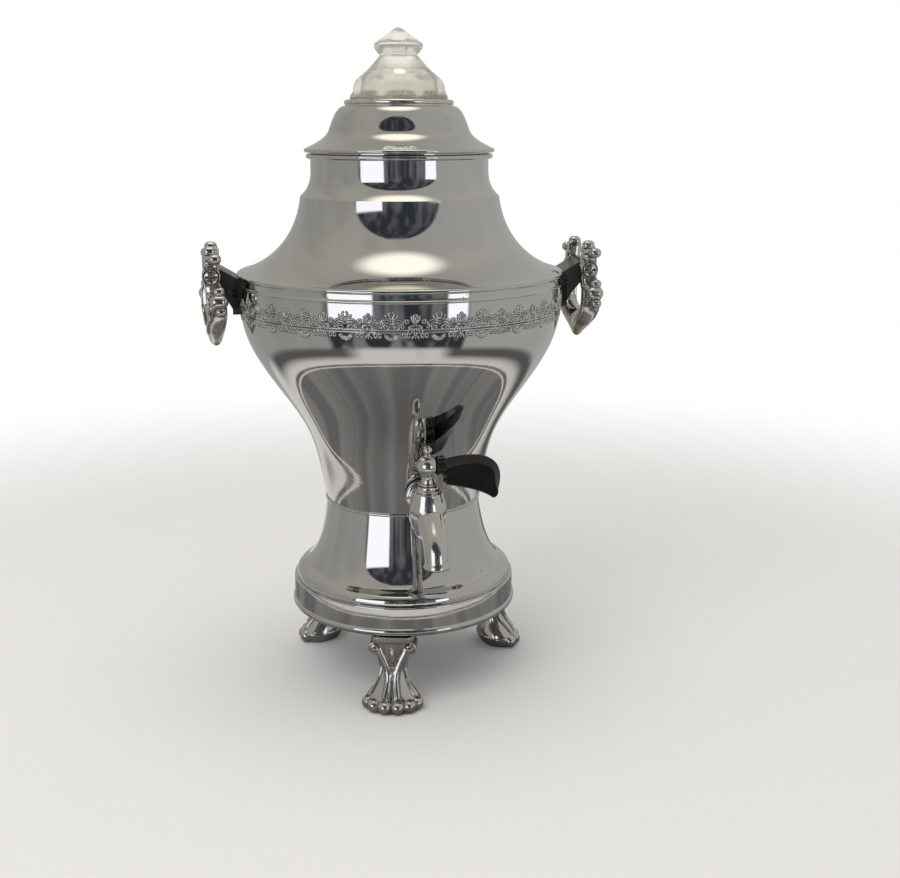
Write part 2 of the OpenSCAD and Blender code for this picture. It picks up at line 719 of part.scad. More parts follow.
module tap_shank_nut() {
    color("silver") translate([0, -wall_y + 6, z_shank]) rotate([-90, 0, 0])
        hex_nut(2 * shank_r + 5, shank_r + fix_gap, nut_t);
}

bonnet_h = 3.6;
stem_r = 3;

module tap_bonnet() {
    color("silver") translate([0, -tap_r, z_bonnet]) difference() {
        union() {
            cylinder(r = seat_r - 0.9, h = 1.8);
            cylinder(r = stem_r + 2.4, h = bonnet_h);
        }
        translate([0, 0, -1]) cylinder(r = stem_r + run_gap, h = bonnet_h + 2);
    }
}

// Plug with a way in at its side and out at its foot, shut while the lever points sideways
z_knob = z_bonnet + bonnet_h + lift_gap;
z_ball = z_knob + 6.6 + ball_r;

module tap_plug() {
    color("goldenrod") translate([0, -tap_r, 0]) difference() {
        union() {
            translate([0, 0, plug_low + lift_gap])
                cylinder(r = plug_r, h = plug_top - plug_low - lift_gap);
            translate([0, 0, plug_top - 1]) cylinder(r = stem_r, h = z_knob - plug_top + 4);
        }
        translate([0, 0, plug_low]) cylinder(r = bore_r, h = z_shank - plug_low);
        translate([0, 0, z_shank]) bar_x(bore_r - 0.2, -plug_r - 1, 0);
    }
}

// Knob on the plug's stem: a collar, the ball and a small bead on top, with a peg for the lever
peg_r = 2.6;
ferrule_l = 5.4;
ferrule_x = ball_r * 0.82;
lever_x = ferrule_x + ferrule_l;

module tap_knob() {
    color("silver") translate([0, -tap_r, 0]) difference() {
        union() {
            translate([0, 0, z_knob]) cylinder(r = stem_r + 1.8, h = 1.3);
            translate([0, 0, z_knob + 1]) cylinder(r = stem_r + 0.8, h = 7);
            translate([0, 0, z_ball]) sphere(ball_r);
            translate([0, 0, z_ball + ball_r - 1]) cylinder(r = 1.9, h = 3);
            translate([0, 0, z_ball + ball_r + 3.2]) sphere(2.6);
            translate([0, 0, z_ball]) bar_x(peg_r, 0, lever_x + 9);
        }
        translate([0, 0, z_knob - 1]) cylinder(r = stem_r + fix_gap / 2, h = 4 + fix_gap);
    }
}

module lever_ferrule() {
    color([0.1, 0.1, 0.1]) translate([0, -tap_r, z_ball]) difference() {
        bar_x(ball_r, ferrule_x, lever_x);
        bar_x(peg_r + fix_gap / 2, 0, lever_x + 1);
        sphere(ball_r + fix_gap / 2);
    }
}

// Lever: a wing that rises a little, then droops to a hooked tip, with a roof-like upper edge.
// The outline is drawn from the ball's middle, in (along, up), first the back, then the belly.
lever_top = 0.34 * lever_h;
lever_end = lever_x + lever_l;
lever_back = [for (i = [0:12]) bezier([[lever_x, lever_top], [lever_x + 14, lever_top + 3.6],
    [lever_end + 0.5, lever_top + 3.4], [lever_end, -7.8]], i / 12)];
lever_tip = [for (i = [1:5]) bezier([[lever_end, -7.8], [lever_end - 0.4, -13],
    [lever_end - 1.6, -18.8], [lever_end - 5, -18.6]], i / 5)];
lever_belly = [for (i = [1:9]) bezier([[lever_end - 5, -18.6], [lever_end - 10, -14.2],
    [lever_x + 10, lever_top - lever_h - 1.6], [lever_x, lever_top - lever_h]], i / 9)];
lever_outline = concat(lever_back, lever_tip, lever_belly);
lever_roof = 4;

// The outline with its back and tip drawn in by depth, and its belly by a small chamfer
function lever_layer(y, depth, chamfer) = let (n = len(lever_outline), backs = len(lever_back))
    [for (i = [0:n - 1]) let (p = lever_outline[i], d = along(lever_outline, i),
        in = i == 0 || i == n - 1 ? [0, i == 0 ? -depth : chamfer]
        : (i < backs ? depth : chamfer + (depth - chamfer) * (1 - ease(i, backs - 1, backs + 3)))
        * [d[1], -d[0]])
        [p[0] + in[0], y, p[1] + in[1]]];

module tap_lever() {
    half = lever_t / 2;
    color([0.08, 0.08, 0.08]) translate([0, -tap_r, z_ball]) difference() {
        loft([lever_layer(-half, lever_roof, 0.9), lever_layer(-half + 0.9, lever_roof - 0.9, 0),
            lever_layer(-0.8, 0, 0), lever_layer(0.8, 0, 0),
            lever_layer(half - 0.9, lever_roof - 0.9, 0), lever_layer(half, lever_roof, 0.9)]);
        bar_x(peg_r + fix_gap / 2, lever_x - 1, lever_x + 9 + fix_gap);
    }
}

// Percolator pump: a bell in the vessel's well, a loose valve washer under it, and the tube
z_floor = z_well + wall;
z_pump = z_floor + lift_gap;
bell_seat_t = 1;
valve_lift = 2.5;
valve_t = 0.8;
z_valve = z_pump + bell_seat_t + lift_gap;
hub_r = tube_r + 1.8;
z_tube = z_valve + valve_t + valve_lift + 0.8;
z_hub = z_tube + 11;
z_basket = z_brim + 1.5;
stop_t = 3;
stop_r = tube_r + 3.5;
z_tube_top = z_collar + 1.5;

module pump_bell() {
    dome = curve([pump_r, z_pump + 2.5], -60, 0.3, [hub_r, z_hub - 3], 0, 0.5, 8);
    hollow_r = pump_r - 2.2;
    color("silver") revolve(concat(
        [[6, z_pump], [pump_r, z_pump]], dome,
        [[hub_r, z_hub], [tube_r + fix_gap, z_hub], [tube_r + fix_gap, z_tube],
         [tube_r + 6, z_tube - 0.2], [hollow_r, z_valve + 1.4], [hollow_r, z_pump + bell_seat_t],
         [6, z_pump + bell_seat_t]]));
}

module pump_tube() {
    color("silver") difference() {
        union() {
            translate([0, 0, z_tube]) cylinder(r = tube_r, h = z_tube_top - z_tube);
            translate([0, 0, z_basket - lift_gap - stop_t]) cylinder(r = stop_r, h = stop_t);
        }
        translate([0, 0, z_tube - 1]) cylinder(r = tube_r - sheet, h = z_tube_top);
    }
}

module pump_valve() {
    color("goldenrod") translate([0, 0, z_valve]) cylinder(r = 9, h = valve_t);
}

// Ring of small holes on a pitch circle
module perforations(pitch_r, count, z, depth) {
    for (i = [0:count - 1]) rotate(360 * i / count) translate([pitch_r, 0, z])
        cylinder(r = perforation_r, h = depth, $fn = 16);
}

sleeve_r = tube_r + lift_gap;
basket_rim = 1.2;
perforated_r = [0.36, 0.58, 0.8];
perforated_n = [10, 16, 22];

module coffee_basket() {
    low_r = basket_r - 2;
    color("lightgray") difference() {
        union() {
            revolve([[sleeve_r, z_basket], [low_r, z_basket], [basket_r, z_basket + 4],
                [basket_r, z_basket + basket_h], [basket_r - sheet, z_basket + basket_h],
                [basket_r - sheet, z_basket + 4.3], [low_r - 0.4, z_basket + sheet],
                [sleeve_r + sheet, z_basket + sheet], [sleeve_r + sheet, z_basket + basket_h - 4],
                [sleeve_r, z_basket + basket_h - 4]]);
            rotate_extrude($fn = 96) translate([basket_r + 0.3, z_basket + basket_h - basket_rim])
                circle(basket_rim);
        }
        for (i = [0:2]) perforations(perforated_r[i] * basket_r, perforated_n[i], z_basket - 1, 3);
    }
}

z_cover = z_basket + basket_h + lift_gap;

module basket_cover() {
    dish = [[basket_r + 1, z_cover], [basket_r + 1, z_cover + sheet],
        [basket_r - 3, z_cover + sheet], [basket_r - 6, z_cover + 4],
        [sleeve_r + 6, z_cover + 4], [sleeve_r + sheet, z_cover + 9]];
    under = [[sleeve_r, z_cover + 9], [sleeve_r, z_cover + 6.5],
        [sleeve_r + 5.5, z_cover + 4 - sheet], [basket_r - 6.4, z_cover + 4 - sheet],
        [basket_r - 3.5, z_cover]];
    color("lightgray") difference() {
        revolve(concat(dish, under));
        for (i = [0:1]) perforations(perforated_r[i] * basket_r, perforated_n[i], z_cover + 2, 4);
    }
}

// Lid: a spun bell with a rim that overhangs the neck, a ring that drops inside it, and a ledge
// with three notches for the lugs of the glass
ledge_t = 1;
skirt_r = glass_r - 2.2;
lug_r = skirt_r + 2.8;
lug_w = 7;
z_rim = z_lid + rim_gap;
plug_outer_r = neck_r - wall - 4 * fix_gap;
bell_turn = [bell_r, z_rim + rim_t + 0.415 * bell_h];
bell_line = concat(
    curve([lid_r, z_rim + rim_t], -65, 0.357, bell_turn, -23.4, 0.286, 10),
    tail(curve(bell_turn, -23.4, 0.25, [collar_r + 0.5, z_collar], -78.5, 0.3, 8)));

module lid() {
    bell_inside = [for (p = inset(bell_line, wall)) if (p[0] < plug_outer_r - wall - 1
        && p[1] < z_collar - ledge_t) p];
    color("gainsboro") difference() {
        revolve(concat(
            [[plug_outer_r - wall, z_lid - plug_d], [plug_outer_r, z_lid - plug_d],
             [plug_outer_r, z_lid], [neck_r + 1.7, z_lid], [neck_r + 1.7, z_rim], [lid_r, z_rim]],
            bell_line,
            [[skirt_r + lift_gap, z_collar], [skirt_r + lift_gap, z_collar - ledge_t]],
            flip(bell_inside), [[plug_outer_r - wall, z_rim + 0.6]]));
        for (i = [0:2]) rotate(120 * i + 60) translate([0, -lug_w / 2 - 0.6, z_collar - 4])
            cube([lug_r + 0.6, lug_w + 1.2, 6]);
    }
}

module lid_collar() {
    inner = glass_r + 1.5;
    color("gainsboro") revolve(concat(
        [[inner, z_collar], [collar_r, z_collar], [collar_r, z_glass - 1]],
        [for (a = [15:15:75]) [collar_r - 1 + cos(a), z_glass - 1 + sin(a)]],
        [[inner, z_glass]]));
}

// Glass: a hollow dome with pressed panels and a pointed finial. Its foot stands on the lid's
// ledge inside the collar, and its lugs reach under the ledge.
z_foot = z_collar + lift_gap;
z_finial = z_glass + glass_h;
z_widest = z_finial - 9;
z_finial_neck = z_finial - 15;
dome_line = tail(flip(curve([finial_neck_r, z_finial_neck], 140.8, 0.735,
    [glass_r, z_glass + 1], 177, 0.49, 12)));
finial_line = concat(
    curve([finial_neck_r, z_finial_neck], 30, 0.3, [finial_r, z_widest], -8, 0.25, 4),
    tail(curve([finial_r, z_widest], -60, 0.2, [1.6, z_finial - 0.5], -60, 0.3, 4)));
glass_outline = concat([[glass_r, z_glass + 1]], dome_line, finial_line, [[0, z_finial]]);

module glass_top() {
    hollow_r = skirt_r - glass_wall;
    crown = [0, z_finial_neck - 4];
    hollow = concat([[0, z_foot - 6], [hollow_r, z_foot - 6], [hollow_r, z_foot]],
        flip(curve(crown, 90, 0.45, [glass_r - glass_wall - 0.5, z_glass + 1], 180, 0.5, 10)),
        [crown]);
    color([0.85, 0.86, 0.82, 0.5]) difference() {
        union() {
            intersection() {
                revolve(concat([[0, z_foot]], [[glass_r, z_foot]], glass_outline));
                rotate(panel_turn) rotate_extrude($fn = panels)
                    polygon(concat([[0, z_foot - 1], [glass_r * 1.12, z_foot - 1],
                        [glass_r * 1.12, z_glass + 3]],
                        [for (p = tail(glass_outline)) if (p[1] > z_glass + 3)
                            [p[0] * 1.045, p[1] + 0.1]],
                        [[0, z_finial + 1]]));
            }
            translate([0, 0, z_foot]) cylinder(r = glass_r + 1, h = collar_h - lift_gap - 0.6);
            translate([0, 0, z_foot - 5]) cylinder(r = skirt_r, h = 6);
            for (i = [0:2]) rotate(120 * i) intersection() {
                translate([0, 0, z_foot - 5]) cylinder(r = lug_r, h = 5 - 2 * lift_gap - ledge_t);
                translate([skirt_r - 3, -lug_w / 2, z_foot - 6]) cube([10, lug_w, 8]);
            }
        }
        revolve(hollow);
    }
}

vessel();
shoulder();
base_skirt();
base_pan();
tie_rod();
rod_washer();
rod_nut();
heating_element();
element_clamp();
clamp_nut();
lead_strips();
inlet_guard();
inlet_insulator();
inlet_pins();
foot_front();
foot_right();
foot_left();
foot_screws();
handle_bracket_left();
handle_bracket_right();
bracket_screws();
pivot_screws_left();
pivot_screws_right();
tap_body();
tap_bonnet();
tap_washer_outer();
tap_washer_inner();
tap_shank_nut();
tap_plug();
tap_knob();
lever_ferrule();
tap_lever();
handle_left();
handle_right();
pump_bell();
pump_tube();
pump_valve();
coffee_basket();
basket_cover();
lid();
lid_collar();
glass_top();
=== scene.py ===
# %% [markdown]
# # A chromed percolator samovar
#
# This lesson dresses a packed CAD model in Blender. The CAD model gives the frame: every piece
# made here takes its place and size from it and rides on one of its bodies, so that a lever, a
# handle or the lid still moves. Mirror-bright metal shows its surroundings more than itself, so
# the lesson starts with the studio, goes on to the finishes, and then makes one piece after
# another.

# %% Load the packed model

import math

import bmesh
import bpy
import numpy as np
from mathutils import Matrix, Vector


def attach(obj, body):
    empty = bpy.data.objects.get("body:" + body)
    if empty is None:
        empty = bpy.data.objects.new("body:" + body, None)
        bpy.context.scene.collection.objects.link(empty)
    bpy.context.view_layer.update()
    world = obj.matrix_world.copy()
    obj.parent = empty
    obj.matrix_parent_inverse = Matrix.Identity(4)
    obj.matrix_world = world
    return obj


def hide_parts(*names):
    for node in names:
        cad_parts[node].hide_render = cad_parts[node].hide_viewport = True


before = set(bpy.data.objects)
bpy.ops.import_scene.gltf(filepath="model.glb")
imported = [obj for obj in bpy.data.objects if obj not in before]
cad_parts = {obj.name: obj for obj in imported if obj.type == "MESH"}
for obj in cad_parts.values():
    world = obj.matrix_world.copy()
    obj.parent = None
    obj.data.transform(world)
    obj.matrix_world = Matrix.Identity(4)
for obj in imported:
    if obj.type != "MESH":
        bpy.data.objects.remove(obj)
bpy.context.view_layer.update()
MM = 0.001

# %% [markdown]
# ## Camera
# The camera stands where the photograph was taken: a little to the left of the tap, somewhat above
# the shoulder, and tilted down. It could be matched by eye, but every rim of the urn shows as an
# ellipse, and fitting those gives the place to a few millimetres. The fit's focal length is in
# pixels; Blender wants it in millimetres on a sensor as wide as the picture.

# %% Camera

IMAGE_WIDTH = 900
FOCAL_PIXELS = 1220
SENSOR_WIDTH = 36.0
CAMERA_AT = (-0.1490, -0.7010, 0.3277)
CAMERA_TURN = 14.31   # degrees to the right of +Y
CAMERA_TILT = 14.39   # degrees below the horizon


def placed(name, data):
    made = bpy.data.objects.new(name, data)
    bpy.context.scene.collection.objects.link(made)
    return made


camera_data = bpy.data.cameras.new("camera")
camera_data.sensor_width = SENSOR_WIDTH
camera_data.lens = SENSOR_WIDTH * FOCAL_PIXELS / IMAGE_WIDTH
camera = placed("camera", camera_data)
turn, tilt = math.radians(CAMERA_TURN), math.radians(CAMERA_TILT)
aim = Vector((math.sin(turn) * math.cos(tilt), math.cos(turn) * math.cos(tilt), -math.sin(tilt)))
camera.location = CAMERA_AT
camera.rotation_euler = aim.to_track_quat("-Z", "Y").to_euler()
bpy.context.scene.camera = camera
bpy.context.scene.view_settings.view_transform = "Standard"
print(f"camera with a {camera_data.lens:.1f} mm lens")

# %% [markdown]
# ## Short names for shader nodes
# Every finish below is a small node tree. This class keeps the wiring readable: each method adds
# one node, links sockets and sets plain numbers, and returns the output that the next one needs.
# All patterns use Object coordinates, which are metres here, so a scale of 1000 gives features
# of about a millimetre, and the pattern stays on the piece when the piece moves.

# %% A helper for materials


class Paint:
    """A material's node tree, one method for each kind of node."""

    def __init__(self, name):
        self.material = bpy.data.materials.new(name)
        self.material.use_nodes = True
        self.tree = self.material.node_tree
        self.shader = self.tree.nodes["Principled BSDF"]
        self.surface = self.tree.nodes["Material Output"].inputs["Surface"]
        self.where = self.node("ShaderNodeTexCoord").outputs["Object"]

    def node(self, kind, **settings):
        made = self.tree.nodes.new(kind)
        for key, value in settings.items():
            setattr(made, key, value)
        return made

    def put(self, socket, value):
        if isinstance(value, bpy.types.NodeSocket):
            self.tree.links.new(value, socket)
        elif socket.type == "RGBA" and len(value) == 3:
            socket.default_value = (*value, 1)
        else:
            socket.default_value = value

    def set(self, **values):
        """Inputs of the main shader; an underscore in a name stands for a space."""
        for key, value in values.items():
            self.put(self.shader.inputs[key.replace("_", " ")], value)

    def math(self, operation, a, b=0.0):
        made = self.node("ShaderNodeMath", operation=operation)
        self.put(made.inputs[0], a)
        self.put(made.inputs[1], b)
        return made.outputs[0]

    def vector(self, operation, value):
        made = self.node("ShaderNodeVectorMath", operation=operation)
        self.put(made.inputs[0], value)
        return made.outputs["Value" if operation == "LENGTH" else "Vector"]

    def parts(self, vector):
        made = self.node("ShaderNodeSeparateXYZ")
        self.put(made.inputs[0], vector)
        return made.outputs

    def span(self, value, low, high, to_low=0.0, to_high=1.0, step="SMOOTHSTEP"):
        """A soft step: low and below gives to_low, high and above gives to_high."""
        made = self.node("ShaderNodeMapRange", interpolation_type=step)
        for index, item in enumerate((value, low, high, to_low, to_high)):
            self.put(made.inputs[index], item)
        return made.outputs[0]

    def between(self, value, low, high, soft):
        """1 from low to high and 0 elsewhere, with ends that are soft on both sides."""
        return self.math("MULTIPLY", self.span(value, low - soft, low + soft),
                         self.span(value, high - soft, high + soft, 1.0, 0.0))

    def blend(self, share, a, b):
        made = self.node("ShaderNodeMix", data_type="RGBA")
        self.put(made.inputs[0], share)
        self.put(made.inputs[6], a)
        self.put(made.inputs[7], b)
        return made.outputs[2]

    def stretched(self, x, y, z):
        made = self.node("ShaderNodeMapping")
        self.put(made.inputs["Vector"], self.where)
        self.put(made.inputs["Scale"], (x, y, z))
        return made.outputs["Vector"]

    def noise(self, scale, detail=4.0, rough=0.55, where=None):
        made = self.node("ShaderNodeTexNoise")
        self.put(made.inputs["Vector"], where or self.where)
        self.put(made.inputs["Scale"], scale)
        self.put(made.inputs["Detail"], detail)
        self.put(made.inputs["Roughness"], rough)
        return made.outputs["Fac"]

    def specks(self, scale, size):
        """1 inside small round specks, one in each cell of the given scale."""
        made = self.node("ShaderNodeTexVoronoi")
        self.put(made.inputs["Vector"], self.where)
        self.put(made.inputs["Scale"], scale)
        return self.span(made.outputs["Distance"], size * 0.6, size, 1.0, 0.0)

    def value(self, attribute):
        return self.node("ShaderNodeAttribute", attribute_name=attribute).outputs["Fac"]

    def bump(self, height, depth, normal=None):
        """Height from 0 to 1 as relief of the given depth in millimetres."""
        made = self.node("ShaderNodeBump")
        self.put(made.inputs["Strength"], 1.0)
        self.put(made.inputs["Distance"], depth * MM)
        self.put(made.inputs["Height"], height)
        if normal:
            self.put(made.inputs["Normal"], normal)
        return made.outputs["Normal"]


print("finishes are painted with", ", ".join(name for name in vars(Paint) if name[0] != "_"))

# %% [markdown]
# ## Studio
# The urn stands in a light tent: pale walls all round, a lamp above, and in front an opening with
# the dim room and its windows behind the camera. The world itself is plain white for the camera,
# for glass and for reflections, and a softer light for everything else, so that a white
# background doesn't mean more light on the object.

# %% World

AMBIENT = 0.62
AMBIENT_TINT = (1.0, 0.99, 0.97, 1)


def make_world():
    world = bpy.data.worlds.new("studio")
    world.use_nodes = True
    nodes, link = world.node_tree.nodes, world.node_tree.links.new
    soft, white = nodes["Background"], nodes.new("ShaderNodeBackground")
    soft.inputs["Color"].default_value = AMBIENT_TINT
    soft.inputs["Strength"].default_value = AMBIENT
    white.inputs["Color"].default_value = (1, 1, 1, 1)
    path = nodes.new("ShaderNodeLightPath")
    seen = path.outputs["Is Camera Ray"]
    for ray in ("Is Transmission Ray", "Is Glossy Ray"):
        either = nodes.new("ShaderNodeMath")
        either.operation = "MAXIMUM"
        link(seen, either.inputs[0])
        link(path.outputs[ray], either.inputs[1])
        seen = either.outputs[0]
    mix = nodes.new("ShaderNodeMixShader")
    for index, output in enumerate((seen, soft.outputs[0], white.outputs[0])):
        link(output, mix.inputs[index])
    link(mix.outputs[0], nodes["World Output"].inputs["Surface"])
    bpy.context.scene.world = world


make_world()
print(f"white world that lights the object with strength {AMBIENT}")

# %% [markdown]
# The tent is a dome that only reflections see. Cards and lamps could stand round the urn instead,
# but on one dome each reflection can be placed by its angle. It is painted by direction: Object
# coordinates give the side angle and the rise of each point as seen from the urn. The opening is an
# arch with a dark room behind it, in which posts and two windows show.

# %% Dome

DOME_RADIUS, DOME_Z = 3.0, 0.2
CAMERA_SIDE = -12.0    # degrees by which the dome is turned to face the camera
TENT_LOW, TENT_HIGH = (0.42, 0.425, 0.41), (0.50, 0.485, 0.43)
TENT_FOLD, TENT_RIGHT = (0.26, 0.26, 0.26), (0.66, 0.66, 0.64)
CEILING, CEILING_RISE = (1.75, 1.65, 1.45), (66, 79)
ROOM_DARK, ROOM_PALE = (0.040, 0.046, 0.056), (0.26, 0.27, 0.285)
WINDOW = (1.55, 1.60, 1.70)
WINDOWS = (((-50, -19.5), (-13, 21)), ((32, 46), (-13, 13)))    # side and rise in degrees
ARCH_SIDE, ARCH_HALF, ARCH_SOFT = -3.5, 50, 0.04
ARCH_RISE, ARCH_POWER = (-10, 54), 2.6
OPENING_RISE = (-70, 53)


def opening_in(paint, side, rise):
    """1 inside the arch, which narrows towards its top."""
    lift = paint.span(rise, *np.radians(ARCH_RISE), step="LINEAR")
    narrow = paint.math("SQRT", paint.math("SUBTRACT", 1.0, paint.math("POWER", lift, ARCH_POWER)))
    half = paint.math("MULTIPLY", narrow, math.radians(ARCH_HALF))
    off = paint.math("ABSOLUTE", paint.math("SUBTRACT", side, math.radians(ARCH_SIDE)))
    arch = paint.span(off, paint.math("SUBTRACT", half, ARCH_SOFT),
                      paint.math("ADD", half, ARCH_SOFT), 1.0, 0.0)
    return paint.math("MULTIPLY", arch, paint.between(rise, *np.radians(OPENING_RISE), math.radians(3)))


def dome_paint():
    paint = Paint("tent_dome")
    paint.tree.nodes.remove(paint.shader)
    glow = paint.node("ShaderNodeEmission")
    paint.put(paint.surface, glow.outputs[0])
    x, y, z = paint.parts(paint.vector("NORMALIZE", paint.where))
    side = paint.math("ARCTAN2", x, paint.math("MULTIPLY", y, -1.0))
    rise = paint.math("ARCSINE", z)
    left, right = (paint.math("MULTIPLY", paint.between(side, *np.radians(sides), math.radians(1.0)),
                              paint.between(rise, *np.radians(rises), math.radians(1.5)))
                   for sides, rises in WINDOWS)
    posts = paint.noise(7, 1, 0.4, paint.stretched(1 / DOME_RADIUS, 1 / DOME_RADIUS, 0.02))
    dim = paint.math("MULTIPLY", paint.span(posts, 0.42, 0.66), paint.span(rise, -0.6, 0.7, 1.0, 0.35))
    room = paint.blend(dim, ROOM_DARK, ROOM_PALE)
    folds = paint.noise(2.2, 1, 0.4, paint.stretched(1 / DOME_RADIUS, 1 / DOME_RADIUS, 0.1))
    tent = paint.blend(paint.span(rise, -0.2, 0.9), TENT_LOW, TENT_HIGH)
    tent = paint.blend(paint.span(folds, 0.3, 0.7, 0.0, 0.35), tent, TENT_FOLD)
    tent = paint.blend(paint.span(x, -0.6, 0.9, 0.0, 0.35), tent, TENT_RIGHT)
    tent = paint.blend(paint.span(rise, *np.radians(CEILING_RISE)), tent, CEILING)
    colour = paint.blend(opening_in(paint, side, rise), tent, room)
    paint.put(glow.inputs["Color"], paint.blend(paint.math("MAXIMUM", left, right), colour, WINDOW))
    paint.material.cycles.emission_sampling = "NONE"
    return paint.material


def staged(name, work, material):
    """A piece of the studio from a finished bmesh."""
    mesh = bpy.data.meshes.new(name)
    work.to_mesh(mesh)
    work.free()
    mesh.materials.append(material)
    made = placed(name, mesh)
    return made


shell = bmesh.new()
bmesh.ops.create_uvsphere(shell, u_segments=96, v_segments=48, radius=DOME_RADIUS)
dome = staged("tent_dome", shell, dome_paint())
dome.location.z = DOME_Z
dome.rotation_euler.z = math.radians(CAMERA_SIDE)
dome.visible_camera = dome.visible_diffuse = dome.visible_shadow = False
dome.visible_volume_scatter = dome.visible_transmission = False
print(f"tent of {DOME_RADIUS} m with {len(WINDOWS)} windows")

# %% [markdown]
# The floor is a pale disc that thins out towards its edge, so that the camera sees white beyond it.
# Chrome over an even floor looks flat, so reflections see it differently: a grey mat with a pale hem
# close to the urn, pale and dark patches round it, and then nothing, so that low reflections see
# the dome's dark front.

# %% Floor

FLOOR_RADIUS, FLOOR_FADE = 0.85, 0.36
FLOOR_PALE = (0.86, 0.86, 0.855), (0.90, 0.90, 0.895)
MAT_RADIUS, MAT_GREY = 0.248, ((0.19, 0.19, 0.195), (0.31, 0.31, 0.305))
HEM_IN, HEM_OUT, HEM_SOFT = 0.0185, 0.0125, 0.0015
AROUND_PALE, AROUND_DARK = (0.90, 0.90, 0.89), (0.13, 0.13, 0.13)
AROUND_FADE, MIRROR_FADE = (0.26, 0.33), (0.36, 0.44)
MAT_EDGE = 0.003
SIDE_SHIFT, SIDE_DARK = 0.19, (0.40, 0.62)    # both sides are dark, as seen from the camera


def floor_paint():
    paint = Paint("floor_card")
    grain = paint.noise(220, 5, 0.6)
    away, length = paint.vector("NORMALIZE", paint.where), paint.vector("LENGTH", paint.where)
    mat = paint.blend(paint.span(paint.noise(2.6, 2, 0.5, away), 0.36, 0.64), *MAT_GREY)
    hem = paint.between(length, MAT_RADIUS - HEM_IN, MAT_RADIUS - HEM_OUT, HEM_SOFT)
    sideways = paint.math("ABSOLUTE", paint.math("ADD", paint.parts(away)["X"], SIDE_SHIFT))
    patches = paint.math("MAXIMUM", paint.span(paint.noise(1.7, 2, 0.5, away), 0.50, 0.60),
                         paint.span(sideways, *SIDE_DARK))
    around = paint.blend(paint.math("MULTIPLY", patches, paint.span(length, *AROUND_FADE)),
                         AROUND_PALE, AROUND_DARK)
    outside = paint.span(length, MAT_RADIUS - MAT_EDGE, MAT_RADIUS + MAT_EDGE)
    mirrored = paint.blend(paint.math("MAXIMUM", hem, outside), mat, around)
    glossy = paint.node("ShaderNodeLightPath").outputs["Is Glossy Ray"]
    paint.set(Base_Color=paint.blend(glossy, paint.blend(grain, *FLOOR_PALE), mirrored),
              Roughness=0.85, Normal=paint.bump(grain, 0.05))
    far = paint.span(length, FLOOR_FADE, FLOOR_RADIUS)
    near = paint.math("MULTIPLY", glossy, paint.span(length, *MIRROR_FADE))
    mix = paint.node("ShaderNodeMixShader")
    clear = paint.node("ShaderNodeBsdfTransparent").outputs[0]
    for index, item in enumerate((paint.math("MAXIMUM", far, near), paint.shader.outputs[0], clear)):
        paint.put(mix.inputs[index], item)
    paint.put(paint.surface, mix.outputs[0])
    return paint.material


disc = bmesh.new()
bmesh.ops.create_circle(disc, cap_ends=True, segments=128, radius=FLOOR_RADIUS)
staged("floor", disc, floor_paint())
print(f"floor of {FLOOR_RADIUS} m radius that fades from {FLOOR_FADE} m")

# %% [markdown]
# Two large lamps give the object its shape and the floor its shadow. Reflections don't see them,
# because the dome already has a bright ceiling and windows for that.

# %% Lamps

LAMP_AIM = Vector((0, 0, 0.15))
LAMPS = {"ceiling_lamp": ((0, 0, 1.35), 0.80, 3.0, (1.0, 0.93, 0.82)),
         "soft_key": ((-0.9, -0.9, 1.5), 1.2, 9.0, (1.0, 0.98, 0.95))}

for name, (at, size, watts, colour) in LAMPS.items():
    light = bpy.data.lights.new(name, "AREA")
    light.shape, light.size, light.energy, light.color = "DISK", size, watts, colour
    lamp = placed(name, light)
    lamp.location = at
    lamp.rotation_euler = (LAMP_AIM - Vector(at)).to_track_quat("-Z", "Y").to_euler()
    lamp.visible_glossy = False
print(f"{len(LAMPS)} lamps")

# %% [markdown]
# ## Finishes
# Polished chrome on spun sheet is never a perfect mirror: it has wiping marks that run round the
# axis, dull patches, a few pits with brown stain, and a slow waviness that makes reflections
# swim. Noise in Object coordinates makes all of that without a UV map or a seam. Cast pieces are
# plated too; their hollows are painted dark, with dirt and painted shade, and their ridges are
# rubbed, so their material reads a value that is measured on the mesh further down.

# %% Chrome finishes

CHROME, STAIN = (0.600, 0.592, 0.580), (0.230, 0.165, 0.100)
# The last colour paints the hollows of castings dark, with dirt and painted shade.
CAST_BRIGHT, CAST_WORN, CAST_DIRT_AND_SHADE = (0.62, 0.60, 0.57), (0.34, 0.225, 0.115), (0.050, 0.038, 0.028)


def spun_chrome():
    paint = Paint("spun_chrome")
    patches = paint.noise(34, 5, 0.62)
    wiping = paint.noise(22, 4, 0.6, paint.stretched(1, 1, 46))
    pits = paint.math("MULTIPLY", paint.specks(420, 0.20), paint.span(paint.noise(60), 0.60, 0.68))
    bloom = paint.math("MULTIPLY", paint.span(paint.noise(150, 7, 0.75), 0.60, 0.78),
                       paint.span(patches, 0.50, 0.66))
    darkening = paint.math("MAXIMUM", pits, paint.math("MULTIPLY", bloom, 0.45))
    rough = paint.math("ADD", paint.span(patches, 0.42, 0.78, 0.025, 0.085),
                       paint.span(wiping, 0.45, 0.80, 0.0, 0.045))
    swim = paint.bump(paint.noise(17, 2, 0.4), 0.35)
    paint.set(Base_Color=paint.blend(darkening, CHROME, STAIN), Metallic=1.0,
              Roughness=paint.math("ADD", rough, paint.math("MULTIPLY", darkening, 0.35)),
              Normal=paint.bump(wiping, 0.006, swim))
    return paint.material


